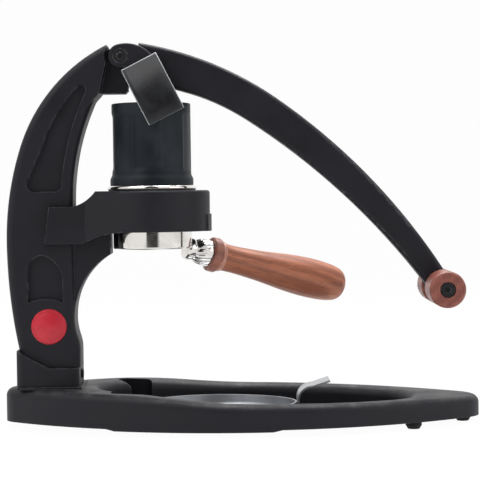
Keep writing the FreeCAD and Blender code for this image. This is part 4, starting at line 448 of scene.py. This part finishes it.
GRIT = make_grit_group()
EDGE = make_edge_group()
DUST = make_dust_group()
LATHE = make_lathe_group()
GRAIN = make_grain_group()


def place_group(tree, group, sockets=()):
    """The group as a node of this tree, with its values."""
    node = tree.nodes.new("ShaderNodeGroup")
    node.node_tree = group
    for key, value in dict(sockets).items():
        node.inputs[key].default_value = value
    return node


def new_material(name, **sockets):
    """Material with one Principled shader; the words are its sockets, with _ for a space."""
    material = bpy.data.materials.new(name)
    material.use_nodes = True
    tree = material.node_tree
    shader = tree.nodes["Principled BSDF"]
    for key, value in sockets.items():
        shader.inputs[key.replace("_", " ")].default_value = value
    place = add(tree, "TexCoord").outputs["Object"]
    return material, tree, shader, place


def bump(tree, shader, height, strength, distance, normal):
    """Bump of a height, over a rounded normal, into the shader."""
    node = add(tree, "Bump", {"Strength": strength, "Distance": distance})
    join(tree, (height, node.inputs["Height"]), (node.outputs[0], shader.inputs["Normal"]),
         (normal, node.inputs["Normal"]))


def make_powder_coat(name, colour, edge_paling, dust_colour, grit_scale=1100.0, dust_amount=0.22, depth=0.35):
    """Matt sprayed coat: clouded colour, paler edges that are partly wear and partly a painted edge
    highlight, grit in the surface, a little dust on top.
    """
    material, tree, shader, place = new_material(name, Roughness=0.5, Specular_IOR_Level=0.3)
    grit = place_group(tree, GRIT, {"Scale": grit_scale, "Waves": 0.5})
    edge = place_group(tree, EDGE, {"Radius": 0.9 * MM})
    dust = place_group(tree, DUST, {"Amount": dust_amount})
    join(tree, (place, grit.inputs["Vector"]), (place, edge.inputs["Vector"]), (place, dust.inputs["Vector"]))
    dark_share, edge_wear_and_highlight_share, polish = 0.72, 0.75, 0.12
    dark = tuple(dark_share * part for part in colour[:3]) + (1.0,)
    clouded = mixed(tree, ramp(tree, grit.outputs["Cloud"], *CLOUD), dark, colour)
    # Paler edges: the edge colour is partly wear and partly a painted highlight along the edges
    edge_lightened = mixed(tree, sums(tree, "MULTIPLY", edge.outputs["Mask"], edge_wear_and_highlight_share), clouded, edge_paling)
    dusted = mixed(tree, dust.outputs["Mask"], edge_lightened, dust_colour)
    rough = ramp(tree, grit.outputs["Cloud"], *CLOUD, 0.46, 0.58)
    smoother = sums(tree, "SUBTRACT", rough, sums(tree, "MULTIPLY", edge.outputs["Mask"], polish))
    join(tree, (dusted, shader.inputs["Base Color"]), (smoother, shader.inputs["Roughness"]))
    bump(tree, shader, grit.outputs["Height"], depth, 0.12 * MM, edge.outputs["Normal"])
    return material


def make_metal(name, colour, shade, gloss, lines, line_frame, depth):
    """Bare metal: tool lines round the frame's X, smudged gloss between two roughnesses, a darker tarnish."""
    material, tree, shader, place = new_material(name, Metallic=1.0)
    turn, at = line_frame
    centred = add(tree, "Mapping", {"Location": at, "Rotation": turn}, vector_type="TEXTURE")
    lathe = place_group(tree, LATHE, {"Lines": lines})
    edge = place_group(tree, EDGE, {"Radius": 0.4 * MM})
    join(tree, (place, centred.inputs["Vector"]), (centred.outputs[0], lathe.inputs["Vector"]),
         (place, edge.inputs["Vector"]))
    tarnished = mixed(tree, ramp(tree, lathe.outputs["Smudge"], 0.4, 0.75, 0.0, 0.6), colour, shade)
    rough = ramp(tree, lathe.outputs["Smudge"], 0.35, 0.7, *gloss)
    join(tree, (tarnished, shader.inputs["Base Color"]), (rough, shader.inputs["Roughness"]))
    bump(tree, shader, lathe.outputs["Height"], depth, 0.03 * MM, edge.outputs["Normal"])
    return material


def make_rubber(name, colour, pale, rough, pale_share, depth, shine=0.22, bloom_share=0.3):
    """Moulded rubber: soft cloudy bloom, paler edges that are partly cut-edge wear and partly a painted edge
    highlight, and a fine texture from the mould.
    """
    material, tree, shader, place = new_material(name, Specular_IOR_Level=shine, Sheen_Weight=0.04,
                                                 Sheen_Roughness=0.4)
    grit = place_group(tree, GRIT, {"Scale": 700.0, "Waves": 0.7})
    edge = place_group(tree, EDGE, {"Radius": 0.6 * MM})
    dust = place_group(tree, DUST, {"Amount": 0.25})
    join(tree, (place, grit.inputs["Vector"]), (place, edge.inputs["Vector"]), (place, dust.inputs["Vector"]))
    bloom = mixed(tree, ramp(tree, grit.outputs["Cloud"], 0.38, 0.72, end=bloom_share), colour, pale)
    # Paler edges: partly cut-edge wear, partly a painted edge highlight
    edge_lightened = mixed(tree, sums(tree, "MULTIPLY", edge.outputs["Mask"], pale_share), bloom, pale)
    dusted = mixed(tree, dust.outputs["Mask"], edge_lightened, tone(150, 150, 148))
    roughness = ramp(tree, grit.outputs["Cloud"], 0.35, 0.7, rough, rough + 0.12)
    join(tree, (dusted, shader.inputs["Base Color"]), (roughness, shader.inputs["Roughness"]))
    bump(tree, shader, grit.outputs["Height"], depth, 0.1 * MM, edge.outputs["Normal"])
    return material


def paint_strap_edge_highlight(material):
    """Painted highlight on the strap's cut edges: a pale colour close to the four sides of its face."""
    half_width, half_length, pale_share = STRAP_WIDTH / 2, STRAP_LENGTH / 2, 0.75
    tree = material.node_tree
    shader = tree.nodes["Principled BSDF"]
    flat = add(tree, "Mapping", {"Location": STRAP_AT, "Rotation": (0.0, STRAP_LEAN, 0.0)},
               vector_type="TEXTURE")
    part = add(tree, "SeparateXYZ")
    place = add(tree, "TexCoord").outputs["Object"]
    join(tree, (place, flat.inputs["Vector"]), (flat.outputs[0], part.inputs[0]))
    from_middle = sums(tree, "ABSOLUTE", sums(tree, "SUBTRACT", part.outputs["Z"], half_length), 0.0)
    from_centre = sums(tree, "ABSOLUTE", part.outputs["X"], 0.0)
    side = ramp(tree, from_centre, half_width - 0.75 * MM, half_width - 0.25 * MM)
    end = ramp(tree, from_middle, half_length - 0.6 * MM, half_length)
    both = sums(tree, "MULTIPLY", sums(tree, "MAXIMUM", side, end), pale_share)
    body = shader.inputs["Base Color"].links[0].from_socket
    # Painted edge highlight: near white mixed in along the sides and ends of the strap
    join(tree, (mixed(tree, both, body, tone(196, 200, 204)), shader.inputs["Base Color"]))


def make_wood(name, grain_frame, light, dark):
    """Oiled reddish wood with its grain along the frame's X."""
    material, tree, shader, place = new_material(name, Specular_IOR_Level=0.42, Coat_Weight=0.18,
                                                 Coat_Roughness=0.35)
    turn, at = grain_frame
    centred = add(tree, "Mapping", {"Location": at, "Rotation": turn}, vector_type="TEXTURE")
    grain = place_group(tree, GRAIN, {"Light": light, "Dark": dark})
    edge = place_group(tree, EDGE, {"Radius": 0.6 * MM})
    join(tree, (place, centred.inputs["Vector"]), (centred.outputs[0], grain.inputs["Vector"]),
         (place, edge.inputs["Vector"]))
    edge_paling = mixed(tree, sums(tree, "MULTIPLY", edge.outputs["Mask"], 0.35), grain.outputs["Colour"], light)
    rough = ramp(tree, grain.outputs["Streak"], 0.3, 0.9, 0.38, 0.52)
    join(tree, (edge_paling, shader.inputs["Base Color"]), (rough, shader.inputs["Roughness"]))
    bump(tree, shader, grain.outputs["Height"], 0.35, 0.12 * MM, edge.outputs["Normal"])
    return material


def make_enamel(name, colour, shade):
    """Red enamel under a clear coat: a soft cloud in the colour, edges paler from wear, a faint unevenness.
    """
    material, tree, shader, place = new_material(name, Coat_Weight=0.25, Coat_Roughness=0.2,
                                                 Specular_IOR_Level=0.3)
    grit = place_group(tree, GRIT, {"Scale": 420.0, "Waves": 1.0})
    edge = place_group(tree, EDGE, {"Radius": 0.4 * MM})
    join(tree, (place, grit.inputs["Vector"]), (place, edge.inputs["Vector"]))
    clouded = mixed(tree, ramp(tree, grit.outputs["Cloud"], 0.35, 0.7), colour, shade)
    edge_lightened = mixed(tree, sums(tree, "MULTIPLY", edge.outputs["Mask"], 0.5), clouded, tone(226, 120, 122))
    rough = ramp(tree, grit.outputs["Cloud"], *CLOUD, 0.3, 0.44)
    join(tree, (edge_lightened, shader.inputs["Base Color"]), (rough, shader.inputs["Roughness"]))
    bump(tree, shader, grit.outputs["Height"], 0.12, 0.06 * MM, edge.outputs["Normal"])
    return material


# Frames of tool lines and grain, each a turn and a place: the line runs along the frame's own X
ALONG_HANDLE = ((0.0, HANDLE_DROOP, HANDLE_YAW), (BREW_AXIS, 0.0, HANDLE_HEIGHT))
UPRIGHT = ((0.0, math.radians(-90), 0.0), (BREW_AXIS, 0.0, 0.0))
ACROSS_GRIP = ((0.0, 0.0, math.radians(90)), (139.7 * MM, 0.0, 93.8 * MM))
FLAT = ((0, 0, 0), (0, 0, 0))

DUST_TONE = tone(150, 148, 146)
GREY_STEEL = (tone(190, 189, 187), tone(140, 139, 138))

# The pale edge colours of the coat and the black oxide are partly wear and partly painted edge highlights
coat = make_powder_coat("black_powder_coat", tone(24, 23, 31), tone(132, 130, 138), DUST_TONE)
plate_coat = make_powder_coat("plate_coat", tone(27, 27, 30), tone(96, 96, 98), DUST_TONE, 700.0, 0.3)
black_oxide = make_powder_coat("black_oxide", tone(26, 26, 29), tone(178, 176, 174), tone(140, 138, 136),
                               2400.0, 0.1, 0.2)
mirror_steel = make_metal("polished_steel", tone(236, 233, 229), tone(196, 192, 187), (0.05, 0.14), 900.0,
                          UPRIGHT, 0.05)
neck_steel = make_metal("polished_neck", tone(238, 235, 232), tone(180, 176, 172), (0.06, 0.16), 700.0,
                        ALONG_HANDLE, 0.1)
turned_steel = make_metal("turned_steel", tone(205, 204, 202), tone(150, 149, 148), (0.2, 0.34), 1600.0,
                          UPRIGHT, 0.3)
rod_steel = make_metal("rod_steel", *GREY_STEEL, (0.22, 0.36), 1600.0, ALONG_HANDLE, 0.3)
cross_steel = make_metal("cross_steel", *GREY_STEEL, (0.22, 0.36), 1600.0, ACROSS_GRIP, 0.3)
tray_steel = make_metal("satin_sheet_steel", tone(178, 180, 184), tone(152, 154, 158), (0.3, 0.42), 700.0,
                        FLAT, 0.2)
bearing_bronze = make_metal("bearing_bronze", tone(176, 132, 84), tone(120, 84, 52), (0.25, 0.4), 1500.0,
                            ACROSS_GRIP, 0.3)
# Silicone and strap: the high pale edge share paints the bright edge lines, a painted edge highlight that is
# partly wear
silicone = make_rubber("moulded_silicone", tone(18, 25, 31), tone(80, 86, 92), 0.46, 0.75, 0.1,
                       bloom_share=0.2)
strap_rubber = make_rubber("strap_rubber", tone(22, 22, 26), tone(110, 113, 116), 0.26, 0.95, 0.06,
                           shine=0.4, bloom_share=0.15)
# The strap's cut edges get a painted highlight
paint_strap_edge_highlight(strap_rubber)
foot_rubber = make_rubber("foot_rubber", tone(20, 20, 21), tone(66, 66, 68), 0.62, 0.4, 0.35)
handle_wood = make_wood("handle_wood", ALONG_HANDLE, tone(196, 122, 88), tone(132, 74, 52))
collar_wood = make_wood("collar_wood", ALONG_HANDLE, tone(172, 110, 90), tone(120, 70, 58))
ring_inlay = make_wood("pale_ring_inlay", ALONG_HANDLE, tone(206, 152, 134), tone(176, 120, 102))
grip_wood = make_wood("grip_wood", ACROSS_GRIP, tone(150, 86, 70), tone(112, 58, 48))
enamel = make_enamel("red_enamel", tone(212, 44, 60), tone(186, 30, 48))


def numbered(name, count):
    """Names of pieces that differ by their number alone."""
    return [f"{name}_{number}" for number in range(1, count + 1)]


# Material of each piece
FINISHES = {
    coat: ["base_casting", "post_casting", "ring_casting", "lever_casting", "post_socket"],
    plate_coat: ["base_pan"],
    black_oxide: [*numbered("pan_screw", 4), *numbered("foot_screw", 4), *numbered("socket_bolt", 2),
                  *numbered("ring_bolt", 2), "lock_screw", "pivot_bolt", "pivot_nut", "grip_screw_near",
                  "grip_screw_far", "stem_cap"],
    foot_rubber: [*numbered("foot", 6), "stop_bumper", *numbered("piston_ring", 2), "group_gasket"],
    mirror_steel: ["brew_cylinder", "portafilter_body"],
    neck_steel: ["portafilter_neck"],
    turned_steel: ["filter_basket", "dispersion_screen", "piston", "plunger_stem", "press_pad"],
    rod_steel: ["handle_rod"],
    cross_steel: ["grip_rod"],
    tray_steel: ["drip_tray", "tray_lip"],
    bearing_bronze: ["pivot_bush"],
    silicone: ["silicone_sleeve"],
    strap_rubber: ["pull_strap"],
    handle_wood: ["handle_wood"],
    collar_wood: ["handle_ferrule"],
    grip_wood: ["grip_near", "grip_far"],
    enamel: ["badge"],
}


def dress(piece, material):
    """The material in every slot of the piece."""
    piece.data.materials.clear()
    piece.data.materials.append(material)


def finish_piece(piece, material, body, node):
    """Material and body of the piece; the node that the piece stands for is hidden."""
    dress(piece, material)
    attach(piece, body)
    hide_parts(node)


for finish, names in FINISHES.items():
    for node in names:
        dress(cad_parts[node], finish)

make_sleeve()
make_strap()
make_handle()
make_collar()
make_neck()
make_badge()


# Floor, backdrop, lamps, world and camera

def make_backdrop():
    """White sweep: y(s) runs back and then up a quarter circle, P(s, x) = (x, y(s), z(s))."""
    front, back, top, side, bend, drop = -1.8, 2.0, 5.0, 5.0, 1.2, 0.0001
    angle = np.linspace(0, math.pi / 2, 25)[1:]
    y = np.concatenate([[front, back], back + bend * np.sin(angle), [back + bend]])
    z = np.concatenate([[0.0, 0.0], bend * (1 - np.cos(angle)), [top]])
    x = np.linspace(-side, side, 3)
    grid = np.stack(np.broadcast_arrays(x[None, :], y[:, None], z[:, None]), axis=-1)
    sweep = piece_of_grid("backdrop", grid - np.array([0, 0, drop]))
    material, tree, shader, place = new_material("backdrop_white", Roughness=0.9, Specular_IOR_Level=0.1)
    patch = add(tree, "TexNoise", {"Scale": 3.0, "Detail": 3.0})
    paper = mixed(tree, ramp(tree, patch.outputs["Fac"], *CLOUD), tone(246, 246, 246), tone(250, 250, 250))
    join(tree, (place, patch.inputs["Vector"]), (paper, shader.inputs["Base Color"]))
    glow = add(tree, "Emission", {"Color": (1, 1, 1, 1), "Strength": 1.0})
    path = add(tree, "LightPath")
    seen = sums(tree, "MAXIMUM", path.outputs["Is Camera Ray"], path.outputs["Is Transmission Ray"])
    seen = sums(tree, "MAXIMUM", seen, path.outputs["Is Glossy Ray"])
    glow_share = 0.97
    both = add(tree, "MixShader")
    surface = tree.nodes["Material Output"].inputs["Surface"]
    join(tree, (sums(tree, "MULTIPLY", seen, glow_share), both.inputs[0]),
         (shader.outputs[0], both.inputs[1]), (glow.outputs[0], both.inputs[2]), (both.outputs[0], surface))
    dress(sweep, material)


def make_world():
    """Even pale light; camera rays see white; reflections see white with an upright dark gap in front."""
    world = bpy.data.worlds.new("studio")
    bpy.context.scene.world = world
    world.use_nodes = True
    tree = world.node_tree
    white, bright, gap_tone = (1, 1, 1, 1), (0.9, 0.9, 0.9, 1), (0.02, 0.02, 0.02, 1)
    even = tree.nodes["Background"]
    even.inputs["Color"].default_value = white
    even.inputs["Strength"].default_value = 0.42
    seen = add(tree, "Background", {"Color": white, "Strength": 1.0})
    mirrored = add(tree, "Background", {"Strength": 1.0})
    part = add(tree, "SeparateXYZ")
    join(tree, (add(tree, "TexCoord").outputs["Generated"], part.inputs[0]))
    least_ahead = 0.001
    ahead = sums(tree, "MAXIMUM", sums(tree, "MULTIPLY", part.outputs["Y"], -1.0), least_ahead)
    aside = sums(tree, "DIVIDE", part.outputs["X"], ahead)
    gap = sums(tree, "MULTIPLY", ramp(tree, aside, -0.31, -0.24), ramp(tree, aside, 0.26, 0.44, 1.0, 0.0))
    join(tree, (mixed(tree, gap, bright, gap_tone), mirrored.inputs["Color"]))
    path = add(tree, "LightPath")
    first, second = add(tree, "MixShader"), add(tree, "MixShader")
    direct = sums(tree, "MAXIMUM", path.outputs["Is Camera Ray"], path.outputs["Is Transmission Ray"])
    join(tree, (path.outputs["Is Glossy Ray"], first.inputs[0]), (even.outputs[0], first.inputs[1]),
         (mirrored.outputs[0], first.inputs[2]), (direct, second.inputs[0]),
         (first.outputs[0], second.inputs[1]), (seen.outputs[0], second.inputs[2]),
         (second.outputs[0], tree.nodes["World Output"].inputs["Surface"]))


# Softboxes: name, place, what each is turned to, side in metres, watts
LAMPS = [("key_softbox", (-0.8, -0.7, 1.1), (0, 0, 0.12), 0.9, 5.0),
         ("top_softbox", (0.1, 0.3, 1.3), (0, 0, 0.1), 1.0, 24.0),
         ("right_softbox", (1.1, -0.5, 0.5), (0, 0, 0.12), 0.7, 1.2)]


def make_lamp(name, place, aim, size, power):
    """Square softbox at a place, turned to its aim."""
    lamp = bpy.data.lights.new(name, "AREA")
    lamp.size = size
    lamp.energy = power
    holder = bpy.data.objects.new(name, lamp)
    holder.location = place
    holder.rotation_euler = (Vector(aim) - Vector(place)).to_track_quat("-Z", "Y").to_euler()
    bpy.context.scene.collection.objects.link(holder)


def make_camera():
    """Camera in front of the near side, above the middle, looking slightly down and rolled a little."""
    pitch, roll = math.radians(1.52), math.radians(-0.757)
    camera = bpy.data.cameras.new("camera")
    camera.lens = 128.87
    camera.sensor_width = 36.0
    camera.clip_start = 0.05
    holder = bpy.data.objects.new("camera", camera)
    spot = Matrix.Translation((-0.4 * MM, -1.2, 160.1 * MM))
    tilt = Matrix.Rotation(math.radians(90) - pitch, 4, "X")
    holder.matrix_world = spot @ tilt @ Matrix.Rotation(roll, 4, "Z")
    bpy.context.scene.collection.objects.link(holder)
    bpy.context.scene.camera = holder


make_backdrop()
make_world()
for lamp in LAMPS:
    make_lamp(*lamp)
make_camera()

bpy.context.scene.view_settings.view_transform = "Standard"
